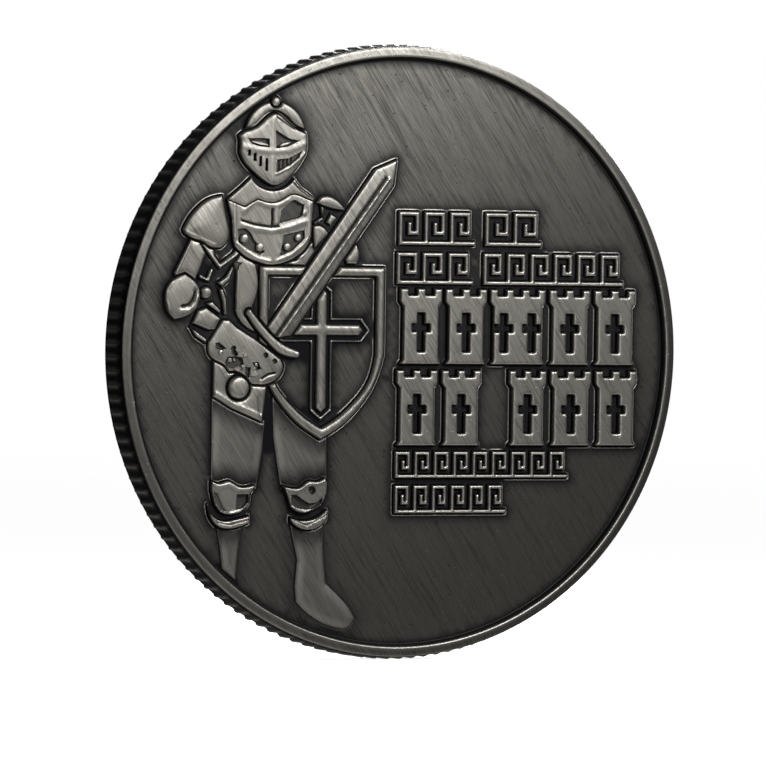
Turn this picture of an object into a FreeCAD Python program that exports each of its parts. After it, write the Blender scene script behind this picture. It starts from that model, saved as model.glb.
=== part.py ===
"""Challenge coin, 40 mm across and 3 mm thick, standing on its edge.

The coin's axis lies along Y. The obverse, with the knight, faces -Y, and +Z is the top of the design.
The origin is the middle of the blank. Each raised feature of the strike stands on its field
as its own solid.
"""

import FreeCAD, Part
import math
import os
import Sketcher
from FreeCAD import Placement, Rotation, Vector

doc = FreeCAD.newDocument("challenge_coin")

# Driving dimensions, in millimetres, degrees or pieces.
SIZES = {
    "outer_radius": 20.0,
    "rim_outer_radius": 19.8,
    "crown_inner_radius": 19.25,
    "field_radius": 18.9,
    "shoulder_radius": 19.86,
    "half_thickness": 1.5,
    "field_level": 1.0,
    "shoulder_full_level": 0.5,
    "reed_front_level": 0.4,
    "reed_count": 140,
    "reed_scoop_radius": 0.5,
    "reed_depth": 0.16,
    "skull_height": 0.40,
    "visor_height": 0.46,
    "visor_cut": 0.20,
    "torso_height": 0.34,
    "torso_cut": 0.18,
    "rivet_height": 0.36,
    "waist_height": 0.26,
    "pauldron_height": 0.44,
    "arm_height": 0.34,
    "strap_height": 0.28,
    "elbow_height": 0.42,
    "elbow_cut": 0.20,
    "gauntlet_height": 0.40,
    "sword_height": 0.42,
    "frame_height": 0.38,
    "cross_height": 0.30,
    "line_height": 0.16,
    "tasset_height": 0.30,
    "thigh_height": 0.12,
    "knee_height": 0.36,
    "shin_height": 0.14,
    "tower_height": 0.40,
    "fret_height": 0.32,
    "leaf_height": 0.32,
    "stem_height": 0.20,
    "bead_height": 0.30,
    "plain_shield_height": 0.36,
    "plain_shield_cut": 0.16,
}

sheet = doc.addObject("Spreadsheet::Sheet", "Sizes")
for row, (alias, number) in enumerate(SIZES.items(), start=1):
    sheet.set(f"A{row}", alias)
    sheet.set(f"B{row}", str(number))
    sheet.setAlias(f"B{row}", alias)
doc.recompute()

NODES = {}
FORMS = {}


# ---------------------------------------------------------------- helpers

def origin_feature(body, role):
    return next(item for item in body.Origin.OriginFeatures if item.Role == role)


def signed_size(name):
    """Value of a sheet entry, negative when the name has a leading minus."""
    return -SIZES[name[1:]] if name.startswith("-") else SIZES[name]


def trace(start, *stretches):
    """Closed outline. One point makes a line, two an arc through the first, more a smooth curve."""
    edges = []
    here = start
    for stretch in stretches:
        points = [Vector(x, z, 0) for x, z in (here, *stretch)]
        if len(points) == 2:
            edges.append(Part.LineSegment(*points))
        elif len(points) == 3:
            edges.append(Part.Arc(*points))
        else:
            curve = Part.BSplineCurve()
            curve.interpolate(points)
            edges.append(curve)
        here = stretch[-1]
    if here != start:
        edges.append(Part.LineSegment(Vector(*here, 0), Vector(*start, 0)))
    return edges


def polygon(points):
    """Closed outline of straight sides."""
    return trace(points[0], *[[point] for point in points[1:]])


def ring(x, z, radius):
    """Outline of one circle."""
    return [Part.Circle(Vector(x, z, 0), Vector(0, 0, 1), radius)]


def mirrored(points, middle):
    """The same points on the other side of a vertical line, in reverse order."""
    return [(2 * middle - x, z) for x, z in reversed(points)]


def face_sketch(body, name, edges, level, side="obverse"):
    """Sketch on the obverse or reverse, at a distance from the coin's middle plane given by an expression."""
    sketch = body.newObject("Sketcher::SketchObject", name)
    sketch.AttachmentSupport = [(origin_feature(body, "XZ_Plane"), "")]
    sketch.MapMode = "FlatFace"
    turn = 0 if side == "obverse" else 180
    sketch.AttachmentOffset = Placement(Vector(0, 0, 0), Rotation(Vector(0, 1, 0), turn))
    sign = "" if side == "obverse" else "-"
    sketch.setExpression("AttachmentOffset.Base.z", f"{sign}({level})")
    for edge in edges:
        sketch.addGeometry(edge, False)
    return sketch


def raised(name, edges, height, side="obverse"):
    """Body padded up from the field by a height from the sheet."""
    body = doc.addObject("PartDesign::Body", name + "_form")
    body.Label = name + "_form"
    sketch = face_sketch(body, name + "_outline", edges, "Sizes.field_level", side)
    pad = body.newObject("PartDesign::Pad", name + "_pad")
    pad.Profile = sketch
    pad.setExpression("Length", f"Sizes.{height}")
    FORMS[name] = body
    return body


def hollowed(name, edges, height, depth, side="obverse"):
    """Pocket cut down from the top of a raised body, checked by its volume."""
    body = FORMS[name]
    doc.recompute()
    before = body.Shape.Volume
    level = f"Sizes.field_level + Sizes.{height}"
    sketch = face_sketch(body, name + "_hollow_outline", edges, level, side)
    pocket = body.newObject("PartDesign::Pocket", name + "_hollow")
    pocket.Profile = sketch
    pocket.setExpression("Length", f"Sizes.{depth}")
    doc.recompute()
    if body.Shape.Volume > before - 1e-4:
        raise RuntimeError(f"the hollow in {name} removed nothing")


def rounded_top(name, height, radius, side="obverse"):
    """Fillet round the top edge of a raised body."""
    body = FORMS[name]
    doc.recompute()
    top = SIZES["field_level"] + SIZES[height]
    base = body.Tip
    chosen = []
    for index, edge in enumerate(base.Shape.Edges, start=1):
        box = edge.BoundBox
        if box.YLength < 1e-6 and abs(abs(box.YMin) - top) < 1e-6:
            chosen.append(f"Edge{index}")
    fillet = body.newObject("PartDesign::Fillet", name + "_round")
    fillet.Base = (base, chosen)
    fillet.Radius = radius


def node(name, under=()):
    """The finished sub-part: the raised body, less the footprints of what lies over it."""
    form = FORMS[name]
    tools = [FORMS[other] for other in under]
    if not tools:
        form.Label = name
        NODES[name] = form
        return
    tool = tools[0]
    if len(tools) > 1:
        tool = doc.addObject("Part::MultiFuse", name + "_cover")
        tool.Shapes = tools
    cut = doc.addObject("Part::Cut", name)
    cut.Base = form
    cut.Tool = tool
    cut.Label = name
    NODES[name] = cut


def group(name, members):
    """One sub-part made of several separate solids."""
    compound = doc.addObject("Part::Compound", name)
    compound.Links = members
    compound.Label = name
    NODES[name] = compound


def turned(name, corners):
    """Body revolved about the coin's axis from corners given as (radius, level) names of sheet entries."""
    body = doc.addObject("PartDesign::Body", name)
    body.Label = name
    sketch = body.newObject("Sketcher::SketchObject", name + "_profile")
    sketch.AttachmentSupport = [(origin_feature(body, "XY_Plane"), "")]
    sketch.MapMode = "FlatFace"
    points = [
        Vector(signed_size(radius) if radius else 0, signed_size(level), 0)
        for radius, level in corners
    ]
    count = len(points)
    for index in range(count):
        sketch.addGeometry(Part.LineSegment(points[index], points[(index + 1) % count]), False)
    for index in range(count):
        sketch.addConstraint(Sketcher.Constraint("Coincident", index, 2, (index + 1) % count, 1))
    for index, (radius, level) in enumerate(corners):
        if radius:
            number = sketch.addConstraint(Sketcher.Constraint("DistanceX", -1, 1, index, 1, points[index].x))
            sketch.setExpression(f"Constraints[{number}]", f"Sizes.{radius}")
        else:
            sketch.addConstraint(Sketcher.Constraint("PointOnObject", index, 1, -2))
        number = sketch.addConstraint(Sketcher.Constraint("DistanceY", -1, 1, index, 1, points[index].y))
        sign = "-" if level.startswith("-") else ""
        sketch.setExpression(f"Constraints[{number}]", f"{sign}Sizes.{level.lstrip('-')}")
    turn = body.newObject("PartDesign::Revolution", name + "_turn")
    turn.Profile = sketch
    turn.ReferenceAxis = (sketch, ["V_Axis"])
    turn.Angle = 360
    FORMS[name] = body
    NODES[name] = body
    return body


# ---------------------------------------------------------------- blank, rims and edge

turned("core_disc", [
    ("", "-field_level"),
    ("field_radius", "-field_level"),
    ("field_radius", "field_level"),
    ("", "field_level"),
])

turned("obverse_rim", [
    ("field_radius", "-field_level"),
    ("crown_inner_radius", "-half_thickness"),
    ("rim_outer_radius", "-half_thickness"),
    ("rim_outer_radius", "-field_level"),
])

turned("reverse_rim", [
    ("field_radius", "field_level"),
    ("rim_outer_radius", "field_level"),
    ("rim_outer_radius", "half_thickness"),
    ("crown_inner_radius", "half_thickness"),
])

turned("edge_shoulder", [
    ("field_radius", "-field_level"),
    ("shoulder_radius", "-field_level"),
    ("outer_radius", "-shoulder_full_level"),
    ("outer_radius", "-reed_front_level"),
    ("field_radius", "-reed_front_level"),
])

turned("reeded_edge", [
    ("field_radius", "-reed_front_level"),
    ("outer_radius", "-reed_front_level"),
    ("outer_radius", "field_level"),
    ("field_radius", "field_level"),
])


def reeding():
    """One scooped notch across the edge, repeated round the coin."""
    body = FORMS["reeded_edge"]
    doc.recompute()
    before = body.Shape.Volume
    scoop_centre = SIZES["outer_radius"] - SIZES["reed_depth"] + SIZES["reed_scoop_radius"]
    scoop = ring(scoop_centre, 0, SIZES["reed_scoop_radius"])
    sketch = face_sketch(body, "reed_outline", scoop, "Sizes.reed_front_level")
    notch = body.newObject("PartDesign::Pocket", "reed_notch")
    notch.Profile = sketch
    notch.setExpression("Length", "Sizes.reed_front_level + Sizes.field_level")
    doc.recompute()
    if body.Shape.Volume > before - 1e-3:
        raise RuntimeError("the reed notch removed nothing")
    pattern = body.newObject("PartDesign::PolarPattern", "reed_pattern")
    pattern.Originals = [notch]
    pattern.Axis = (origin_feature(body, "Y_Axis"), [""])
    pattern.Angle = 360
    pattern.setExpression("Occurrences", "Sizes.reed_count")
    body.Tip = pattern


reeding()


# ---------------------------------------------------------------- sword

BLADE_FOOT = (-9.75, 1.35)
BLADE_SHOULDER = (-2.1, 11.85)
BLADE_TIP = (-0.5, 12.5)
BLADE_FAR_SHOULDER = (-0.7, 10.8)
BLADE_FAR_FOOT = (-7.85, 1.0)

raised("sword_blade", polygon([
    BLADE_FOOT, BLADE_SHOULDER, BLADE_TIP, BLADE_FAR_SHOULDER, BLADE_FAR_FOOT, (-8.8, 0.85),
]), "sword_height")

raised("crossguard", trace(
    (-10.8, 2.72),
    [(-9.8, 1.6), (-8.8, 0.7), (-7.95, 0.25), (-7.35, 0.05)],
    [(-7.25, -0.25), (-7.6, -0.45)],
    [(-8.4, -0.3), (-9.4, 0.4), (-10.4, 1.45), (-11.0, 2.25)],
    [(-11.08, 2.58), (-10.8, 2.72)],
), "sword_height")

raised("sword_pommel", ring(-11.62, -2.3, 0.73), "sword_height")
rounded_top("sword_pommel", "sword_height", 0.38)

# ---------------------------------------------------------------- helm

raised("helm_finial", ring(-9.2, 16.08, 0.34), "skull_height")
rounded_top("helm_finial", "skull_height", 0.3)

BROW = [
    (-11.4, 14.15), (-10.6, 14.4), (-10.05, 14.85),
    (-9.25, 15.33), (-8.3, 14.75), (-7.75, 14.38), (-7.05, 14.1),
]
BREATH_SLOTS = [(-11.1, 12.85, 12.5), (-10.7, 12.65, 12.15), (-10.3, 12.5, 11.85), (-9.9, 12.35, 11.55)]
BREATH_HALF_WIDTH = 0.11

raised("helm_skull", trace(
    (-11.37, 14.0),
    [(-9.2, 16.1), (-7.1, 14.14)],
    [(-7.6, 13.6)],
    [(-10.9, 13.6)],
), "skull_height")

raised("helm_visor", trace(
    BROW[0],
    BROW[1:],
    [(-6.95, 13.3), (-7.05, 12.7)],
    [(-7.45, 12.05), (-7.95, 11.45), (-8.5, 10.95), (-9.25, 10.65), (-10.0, 10.95), (-10.8, 11.55),
     (-11.4, 12.15), (-11.72, 12.75)],
    [(-11.7, 13.55)],
    [(-11.8, 13.85)],
), "visor_height")


def visor_openings():
    """Two eye slits, four breath slots on one cheek and a breath panel on the other."""
    edges = trace((-11.3, 13.65), [(-9.7, 13.7)], [(-9.7, 13.1)], [(-10.7, 13.2), (-11.3, 13.65)])
    edges += trace((-9.2, 14.25), [(-8.3, 13.75), (-7.5, 13.6)], [(-8.2, 13.2), (-9.2, 13.1)])
    for middle, top, bottom in BREATH_SLOTS:
        left = middle - BREATH_HALF_WIDTH
        right = middle + BREATH_HALF_WIDTH
        edges += polygon([(left, top), (right, top), (right, bottom), (left, bottom)])
    edges += trace((-9.15, 12.3), [(-8.2, 12.45), (-7.4, 12.85)], [(-8.0, 11.95), (-9.15, 11.5)])
    return edges


hollowed("helm_visor", visor_openings(), "visor_height", "visor_cut")

# ---------------------------------------------------------------- torso

raised("gorget", trace(
    (-12.55, 9.75),
    [(-11.5, 10.6)],
    [(-10.9, 11.15)],
    [(-9.3, 10.35), (-7.85, 11.15)],
    [(-7.3, 10.5)],
    [(-6.45, 9.95)],
    [(-6.42, 9.7)],
    [(-7.1, 9.95)],
    [(-7.9, 10.15), (-8.9, 9.7), (-9.6, 9.6), (-10.4, 9.8)],
    [(-11.3, 9.3)],
), "torso_height")

raised("breastplate", trace(
    (-12.55, 9.75),
    [(-11.3, 9.3)],
    [(-10.4, 9.8)],
    [(-9.6, 9.6), (-8.9, 9.7), (-7.9, 10.15), (-7.1, 9.95)],
    [(-6.42, 9.7)],
    [(-6.5, 8.5)],
    [(-6.55, 7.45)],
    [(-6.9, 6.7), (-7.6, 6.1), (-8.4, 5.72), (-9.4, 5.55), (-10.4, 5.75), (-11.3, 6.15), (-11.95, 6.7)],
    [(-12.1, 7.1)],
    [(-12.2, 8.5)],
), "torso_height")


def breastplate_windows():
    """One window above the lap and two riveted recesses below it."""
    edges = polygon([(-8.75, 9.15), (-7.9, 9.8), (-7.4, 9.75), (-7.1, 9.45), (-7.25, 8.65), (-8.6, 8.3)])
    edges += polygon([(-11.8, 7.95), (-11.1, 7.95), (-10.7, 7.1), (-9.85, 6.3), (-10.5, 6.2), (-11.75, 7.0)])
    edges += polygon([(-8.5, 7.55), (-7.05, 7.9), (-7.1, 7.25), (-8.1, 6.45), (-8.8, 6.1)])
    return edges


hollowed("breastplate", breastplate_windows(), "torso_height", "torso_cut")

raised("breastplate_rivets", (
    ring(-11.3, 7.3, 0.33) + ring(-10.25, 6.7, 0.31) + ring(-8.3, 6.75, 0.27) + ring(-7.5, 7.35, 0.27)
), "rivet_height")
rounded_top("breastplate_rivets", "rivet_height", 0.16)

raised("waist_plate", trace(
    (-11.5, 6.3),
    [(-10.4, 5.6)],
    [(-10.25, 4.9)],
    [(-10.3, 3.6), (-10.6, 2.9)],
    [(-10.4, 1.2)],
    [(-11.0, 1.5), (-11.85, 2.6)],
    [(-11.85, 3.8)],
    [(-11.8, 5.3)],
    [(-12.0, 5.6)],
), "waist_height")

raised("fauld", trace(
    (-9.0, 5.6),
    [(-7.6, 5.9)],
    [(-6.6, 7.0)],
    [(-6.4, 7.3)],
    [(-5.6, 7.3)],
    [(-6.9, 5.55)],
), "waist_height")

# ---------------------------------------------------------------- arms

raised("pauldron_left", trace(
    (-12.85, 10.0),
    [(-13.7, 9.8), (-14.6, 9.2), (-15.2, 8.5), (-15.62, 7.75)],
    [(-15.5, 7.5)],
    [(-15.0, 7.2), (-14.3, 7.0), (-13.4, 6.58), (-12.9, 6.6)],
    [(-12.5, 6.95), (-12.35, 7.55), (-12.5, 8.4), (-12.85, 10.0)],
), "pauldron_height")

raised("arm_lame_left", polygon([
    (-14.35, 6.95), (-13.6, 5.95), (-12.95, 5.2), (-11.75, 6.05), (-11.5, 6.35), (-11.9, 6.5),
    (-12.1, 6.25), (-12.95, 5.65), (-13.3, 6.15), (-13.4, 6.6),
]), "strap_height")

raised("upper_arm_left", polygon([
    (-15.0, 7.3), (-16.2, 5.0), (-15.9, 4.5), (-14.7, 4.5), (-14.45, 5.0), (-13.95, 6.25), (-14.4, 7.0),
]), "arm_height")

raised("arm_buckle", polygon([
    (-14.5, 5.0), (-13.9, 4.7), (-13.75, 5.15), (-13.5, 5.4), (-13.42, 5.1), (-13.7, 4.4), (-14.4, 4.65),
]), "strap_height")

raised("elbow_cup_left", trace(
    (-15.4, 4.95),
    [(-16.2, 4.6), (-16.75, 3.9), (-16.8, 3.3), (-16.6, 2.5), (-16.1, 1.95)],
    [(-15.6, 2.05)],
    [(-14.9, 2.35), (-14.35, 3.1), (-14.4, 4.1), (-15.4, 4.95)],
), "elbow_height")
hollowed("elbow_cup_left", trace(
    (-15.65, 2.75),
    [(-14.95, 2.85), (-14.75, 3.5)],
    [(-14.55, 3.2)],
    [(-14.95, 2.45), (-15.65, 2.5)],
), "elbow_height", "elbow_cut")

raised("elbow_stud", ring(-13.9, 3.72, 0.42), "arm_height")
rounded_top("elbow_stud", "arm_height", 0.24)

raised("forearm_left", polygon([
    (-14.5, 2.6), (-13.9, 2.8), (-12.85, 2.1), (-13.25, 1.35), (-13.7, 1.3), (-14.9, 1.75),
]), "arm_height")

raised("forearm_straps", (
    polygon([(-15.05, 1.6), (-13.8, 0.75), (-13.85, 0.45), (-14.6, 0.9)])
    + polygon([(-13.95, 3.05), (-13.45, 3.18), (-12.85, 2.6), (-12.9, 2.35), (-13.8, 2.95)])
    + polygon([(-13.2, 4.35), (-12.6, 4.75), (-12.15, 5.45), (-12.0, 5.4), (-12.2, 4.6), (-12.75, 4.12)])
    + polygon([(-13.05, 4.0), (-12.78, 3.2), (-12.65, 2.3), (-12.42, 2.35), (-12.45, 3.3), (-12.72, 4.0)])
), "strap_height")

raised("gauntlet", trace(
    (-12.7, 2.0),
    [(-12.2, 2.0)],
    [(-11.7, 1.55)],
    [(-10.4, 0.8)],
    [(-9.4, 0.1)],
    [(-8.6, -0.45)],
    [(-8.35, -0.9), (-8.5, -1.45), (-9.0, -1.95), (-9.7, -2.2)],
    [(-10.6, -2.15)],
    [(-10.9, -1.85)],
    [(-11.4, -1.45), (-12.2, -1.35)],
    [(-12.6, -0.9), (-13.25, -0.6), (-13.7, -0.05), (-13.7, 0.55)],
    [(-13.3, 1.15)],
), "gauntlet_height")

raised("pauldron_right", trace(
    (-6.25, 9.6),
    [(-6.0, 9.95), (-5.4, 10.07), (-4.85, 9.88), (-4.2, 9.3)],
    [(-4.2, 9.1)],
    [(-5.0, 9.2), (-6.0, 9.5)],
), "arm_height")

raised("arm_plates_right", (
    polygon([
        (-6.35, 9.6), (-6.15, 9.55), (-5.95, 9.4), (-5.85, 8.7), (-6.4, 8.35),
        (-6.32, 8.2), (-5.75, 8.5), (-5.65, 9.35), (-6.1, 9.7), (-6.35, 9.75),
    ])
    + polygon([(-5.2, 8.95), (-4.7, 8.65), (-5.2, 8.15), (-5.55, 8.35)])
), "strap_height")

raised("upper_arm_right", trace(
    (-6.45, 8.1),
    [(-5.85, 8.15), (-5.3, 7.6)],
    [(-6.3, 6.6)],
    [(-6.4, 7.2)],
), "waist_height")

raised("elbow_cup_right", trace(
    (-3.5, 7.1),
    [(-3.1, 6.5), (-3.3, 5.66)],
    [(-4.0, 5.66)],
    [(-4.2, 6.1)],
), "arm_height")

# ---------------------------------------------------------------- shield

SHIELD_MIDDLE = -5.7
SHIELD_HALF = [
    (-1.25, -0.2), (-1.6, -1.35), (-2.1, -2.45), (-2.9, -3.55), (-4.0, -4.65), (SHIELD_MIDDLE, -5.72),
]
SHIELD_INNER_HALF = [
    (-1.87, -0.2), (-2.2, -1.55), (-2.8, -2.6), (-3.55, -3.4), (-4.55, -4.25), (SHIELD_MIDDLE, -4.93),
]


def heater(top, half):
    """Outline of a shield with a flat top, straight upper sides and two curves down to a point."""
    mirror = mirrored(half, SHIELD_MIDDLE)
    return trace(
        (mirror[-1][0], top),
        [(half[0][0], top)],
        [half[0]],
        half[1:],
        mirror[1:],
    )


# The whole shield, which only hides what stands behind it.
raised("shield_footprint", heater(5.5, SHIELD_HALF), "frame_height")
raised("shield_frame", heater(5.5, SHIELD_HALF) + heater(4.87, SHIELD_INNER_HALF), "frame_height")


def cross_outline(half_width, arm_low, arm_high, reach, bottom, top, point):
    """Cross with pointed ends about the shield's middle line."""
    left = SHIELD_MIDDLE - half_width
    right = SHIELD_MIDDLE + half_width
    arm_middle = (arm_low + arm_high) / 2
    return polygon([
        (SHIELD_MIDDLE, top), (right, top - point), (right, arm_high),
        (SHIELD_MIDDLE + reach - point, arm_high), (SHIELD_MIDDLE + reach, arm_middle),
        (SHIELD_MIDDLE + reach - point, arm_low), (right, arm_low), (right, bottom + point),
        (SHIELD_MIDDLE, bottom), (left, bottom + point), (left, arm_low),
        (SHIELD_MIDDLE - reach + point, arm_low), (SHIELD_MIDDLE - reach, arm_middle),
        (SHIELD_MIDDLE - reach + point, arm_high), (left, arm_high), (left, top - point),
    ])


raised("shield_cross", cross_outline(0.37, 1.03, 1.77, 2.95, -3.95, 4.1, 0.3), "cross_height")
CROSS_LINE_OUTSIDE = cross_outline(0.77, 0.6, 2.2, 3.5, -4.45, 4.6, 0.62)
CROSS_LINE_INSIDE = cross_outline(0.6, 0.77, 2.03, 3.25, -4.2, 4.35, 0.52)
raised("cross_outline", CROSS_LINE_OUTSIDE + CROSS_LINE_INSIDE, "line_height")

# ---------------------------------------------------------------- legs

raised("tasset", polygon([
    (-13.35, -0.4), (-13.35, -2.95), (-12.0, -3.72), (-9.8, -4.62), (-9.5, -2.0), (-11.0, -1.2),
]), "tasset_height")

raised("thigh_left", polygon([
    (-13.35, -2.95), (-13.35, -8.6), (-10.15, -8.9), (-9.75, -6.5), (-9.6, -4.5), (-12.0, -3.4),
]), "thigh_height")

raised("thigh_right", trace(
    (-9.1, -2.4),
    [(-9.0, -5.5)],
    [(-8.75, -7.0)],
    [(-8.4, -8.9)],
    [(-5.15, -8.5)],
    [(-5.2, -5.2)],
), "thigh_height")

raised("knee_left", trace(
    (-13.4, -8.3),
    [(-12.9, -8.5), (-12.2, -8.35), (-11.4, -8.7), (-10.4, -8.6)],
    [(-10.25, -8.7)],
    [(-10.6, -9.15)],
    [(-10.7, -9.85)],
    [(-11.2, -10.35), (-11.9, -10.55), (-12.6, -10.45), (-13.2, -9.75)],
    [(-13.4, -8.95)],
), "knee_height")
hollowed("knee_left", trace(
    (-11.6, -9.2), [(-10.8, -9.2)], [(-10.85, -9.8)], [(-11.2, -10.2), (-11.7, -10.35)],
), "knee_height", "torso_cut")

raised("knee_right", trace(
    (-8.4, -8.65),
    [(-7.8, -8.8), (-7.1, -8.75), (-6.5, -8.35), (-6.0, -8.4), (-5.4, -8.15)],
    [(-5.15, -8.45)],
    [(-5.2, -9.15)],
    [(-5.5, -9.8), (-6.1, -10.25), (-6.7, -10.45), (-7.4, -10.35), (-7.8, -10.05)],
    [(-8.0, -9.45)],
    [(-8.2, -8.95)],
), "knee_height")
hollowed("knee_right", (
    ring(-6.3, -8.95, 0.25)
    + trace((-7.75, -9.3), [(-7.3, -9.25)], [(-6.5, -9.8), (-5.6, -9.4)], [(-6.5, -10.25), (-7.7, -9.95)])
), "knee_height", "torso_cut")

raised("knee_bands", (
    trace((-13.65, -9.85), [(-13.1, -10.7), (-12.1, -10.9)], [(-10.7, -10.6)], [(-10.7, -11.1)],
          [(-12.0, -11.45), (-12.9, -11.3), (-13.4, -10.8)])
    + trace((-7.8, -10.7), [(-6.6, -10.9), (-5.3, -10.25)], [(-5.15, -10.25)], [(-5.2, -10.85)],
            [(-6.7, -11.55), (-7.8, -10.95)])
), "knee_height")

raised("shin_left", polygon([
    (-12.9, -11.3), (-12.65, -12.8), (-12.5, -14.0), (-11.5, -14.8), (-11.35, -13.0), (-11.1, -11.2),
]), "shin_height")

raised("shin_right", trace(
    (-7.75, -11.1),
    [(-7.2, -13.5)],
    [(-7.35, -15.2)],
    [(-7.25, -16.2)],
    [(-6.3, -17.05), (-4.6, -17.85), (-3.5, -17.9), (-3.0, -17.3)],
    [(-3.4, -16.65), (-4.0, -16.0), (-5.1, -15.0)],
    [(-5.3, -13.2)],
    [(-5.4, -11.0)],
), "shin_height")

# What lies over what, from the topmost piece down.
node("sword_pommel")
node("crossguard")
node("sword_blade", under=["crossguard"])
node("gauntlet", under=["crossguard", "sword_pommel", "sword_blade"])
node("helm_finial")
node("helm_visor")
node("helm_skull", under=["helm_visor", "helm_finial"])
node("gorget", under=["helm_visor"])
node("breastplate", under=["gorget", "breastplate_rivets"])
node("breastplate_rivets")
node("waist_plate", under=["breastplate", "gauntlet", "crossguard", "arm_lame_left"])
node("pauldron_left")
node("arm_lame_left", under=["pauldron_left", "breastplate"])
node("elbow_cup_left")
node("upper_arm_left", under=["pauldron_left", "elbow_cup_left", "arm_lame_left"])
node("arm_buckle", under=["upper_arm_left", "elbow_cup_left", "arm_lame_left"])
node("elbow_stud", under=["elbow_cup_left"])
node("forearm_left", under=["elbow_cup_left", "gauntlet"])
node("forearm_straps", under=[
    "elbow_cup_left", "gauntlet", "forearm_left", "elbow_stud", "arm_lame_left", "waist_plate",
])
node("pauldron_right", under=["sword_blade"])
node("arm_plates_right", under=["pauldron_right", "breastplate", "gorget", "sword_blade"])
node("upper_arm_right", under=["breastplate", "arm_plates_right", "sword_blade"])
node("fauld", under=["breastplate", "upper_arm_right", "sword_blade", "shield_footprint"])
node("shield_frame", under=["sword_blade", "crossguard", "gauntlet"])
node("elbow_cup_right", under=["sword_blade", "shield_footprint"])
node("shield_cross", under=["sword_blade", "crossguard"])
node("cross_outline", under=["sword_blade", "crossguard", "shield_frame"])
node("tasset", under=["gauntlet", "sword_pommel"])
node("thigh_left", under=["tasset", "knee_left"])
node("thigh_right", under=["shield_footprint", "knee_right"])
node("knee_left")
node("knee_right")
node("knee_bands", under=["knee_left", "knee_right"])
node("shin_left", under=["knee_bands"])
node("shin_right", under=["knee_bands"])

# ---------------------------------------------------------------- ornament rows


def key_unit(left, low, pitch, high, stroke):
    """Outline of one fret: a base line, a riser and a hook that turns back into the middle."""
    right = left + pitch
    top = low + high
    hook_right = right - 1.15 * stroke
    hook_low = low + 2.2 * stroke
    hook_left = left + (pitch - stroke) * 0.42
    hook_top = top - 2.3 * stroke
    return polygon([
        (left, low), (right, low), (right, low + stroke), (left + stroke, low + stroke),
        (left + stroke, top - stroke), (hook_right - stroke, top - stroke),
        (hook_right - stroke, hook_low + stroke), (hook_left + stroke, hook_low + stroke),
        (hook_left + stroke, hook_top), (hook_left, hook_top), (hook_left, hook_low),
        (hook_right, hook_low), (hook_right, top), (left, top),
    ])


def fret_word(name, left, low, width, high, units, stroke):
    """One run of frets, repeated along the row from a single unit."""
    pitch = width / units
    body = raised(name, key_unit(left, low, pitch, high, stroke), "fret_height")
    pad = body.Tip
    doc.recompute()
    pattern = body.newObject("PartDesign::LinearPattern", name + "_run")
    pattern.Originals = [pad]
    pattern.Direction = (origin_feature(body, "X_Axis"), [""])
    pattern.Length = pitch * (units - 1)
    pattern.Occurrences = units
    body.Tip = pattern
    return body


# Each row: its low edge, its height, the stroke's width and its runs as (left, width, units).
FRET_ROWS = {
    "fret_row_1": (6.95, 2.2, 0.30, [(-0.35, 5.55, 3), (5.9, 4.15, 2)]),
    "fret_row_2": (4.4, 2.1, 0.30, [(-0.45, 5.55, 3), (5.8, 10.3, 6)]),
    "fret_row_5": (-8.2, 1.75, 0.25, [(-0.4, 12.6, 9)]),
    "fret_row_6": (-10.5, 1.85, 0.26, [(-0.4, 8.1, 6)]),
}

for row_name, (low, high, stroke, runs) in FRET_ROWS.items():
    words = [
        fret_word(f"{row_name}_run_{number}", left, low, width, high, units, stroke)
        for number, (left, width, units) in enumerate(runs, start=1)
    ]
    group(row_name, words)


def tower_outline(left, low, width, high, merlons):
    """A tower with a flared foot, a straight shaft and a crenellated head."""
    right = left + width
    top = low + high
    flare = 0.24
    foot = 0.3
    head = 1.15
    corbel = 0.3
    crenel_depth = 0.42
    tooth = width / (2 * merlons - 1)
    points = [(left, low), (right, low), (right - flare, low + foot), (right - flare, top - head),
              (right, top - head + corbel)]
    for index in range(merlons):
        x_right = right - 2 * index * tooth
        x_left = x_right - tooth
        points += [(x_right, top), (x_left, top)]
        if index < merlons - 1:
            points += [(x_left, top - crenel_depth), (x_left - tooth, top - crenel_depth)]
    points += [(left, top - head + corbel), (left + flare, top - head), (left + flare, low + foot)]
    return polygon(points)


def loop_outline(middle, low, high, arm):
    """A cross-shaped arrow loop: a tall slit with a shorter one across it."""
    half = 0.24
    bar = low + 0.62 * high
    return polygon([
        (middle - half, low), (middle + half, low), (middle + half, bar - half), (middle + arm, bar - half),
        (middle + arm, bar + half), (middle + half, bar + half), (middle + half, low + high),
        (middle - half, low + high), (middle - half, bar + half), (middle - arm, bar + half),
        (middle - arm, bar - half), (middle - half, bar - half),
    ])


# Each tower: its left side, its width, its merlons and its arrow loops.
TOWER_HIGH = 4.95
LOOP_FOOT = 0.85
LOOP_HIGH = 2.5
LOOP_ARM = 0.62
TOWER_ROWS = {
    "upper_tower": (-0.8, [
        (-0.2, 3.05, 3, 1), (3.05, 3.05, 3, 1), (6.3, 4.05, 4, 2), (10.6, 3.05, 3, 1), (13.9, 3.1, 3, 1),
    ]),
    "lower_tower": (-6.1, [
        (-0.4, 3.0, 3, 1), (2.85, 2.9, 3, 1), (7.75, 2.75, 3, 1), (10.75, 3.05, 3, 1), (14.05, 3.1, 3, 1),
    ]),
}

for row_name, (low, towers) in TOWER_ROWS.items():
    for number, (left, width, merlons, loops) in enumerate(towers, start=1):
        edges = tower_outline(left, low, width, TOWER_HIGH, merlons)
        for index in range(loops):
            middle = left + width * (index + 0.5) / loops
            edges += loop_outline(middle, low + LOOP_FOOT, LOOP_HIGH, LOOP_ARM)
        name = f"{row_name}_{number}"
        raised(name, edges, "tower_height")
        node(name)

# ---------------------------------------------------------------- reverse

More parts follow.
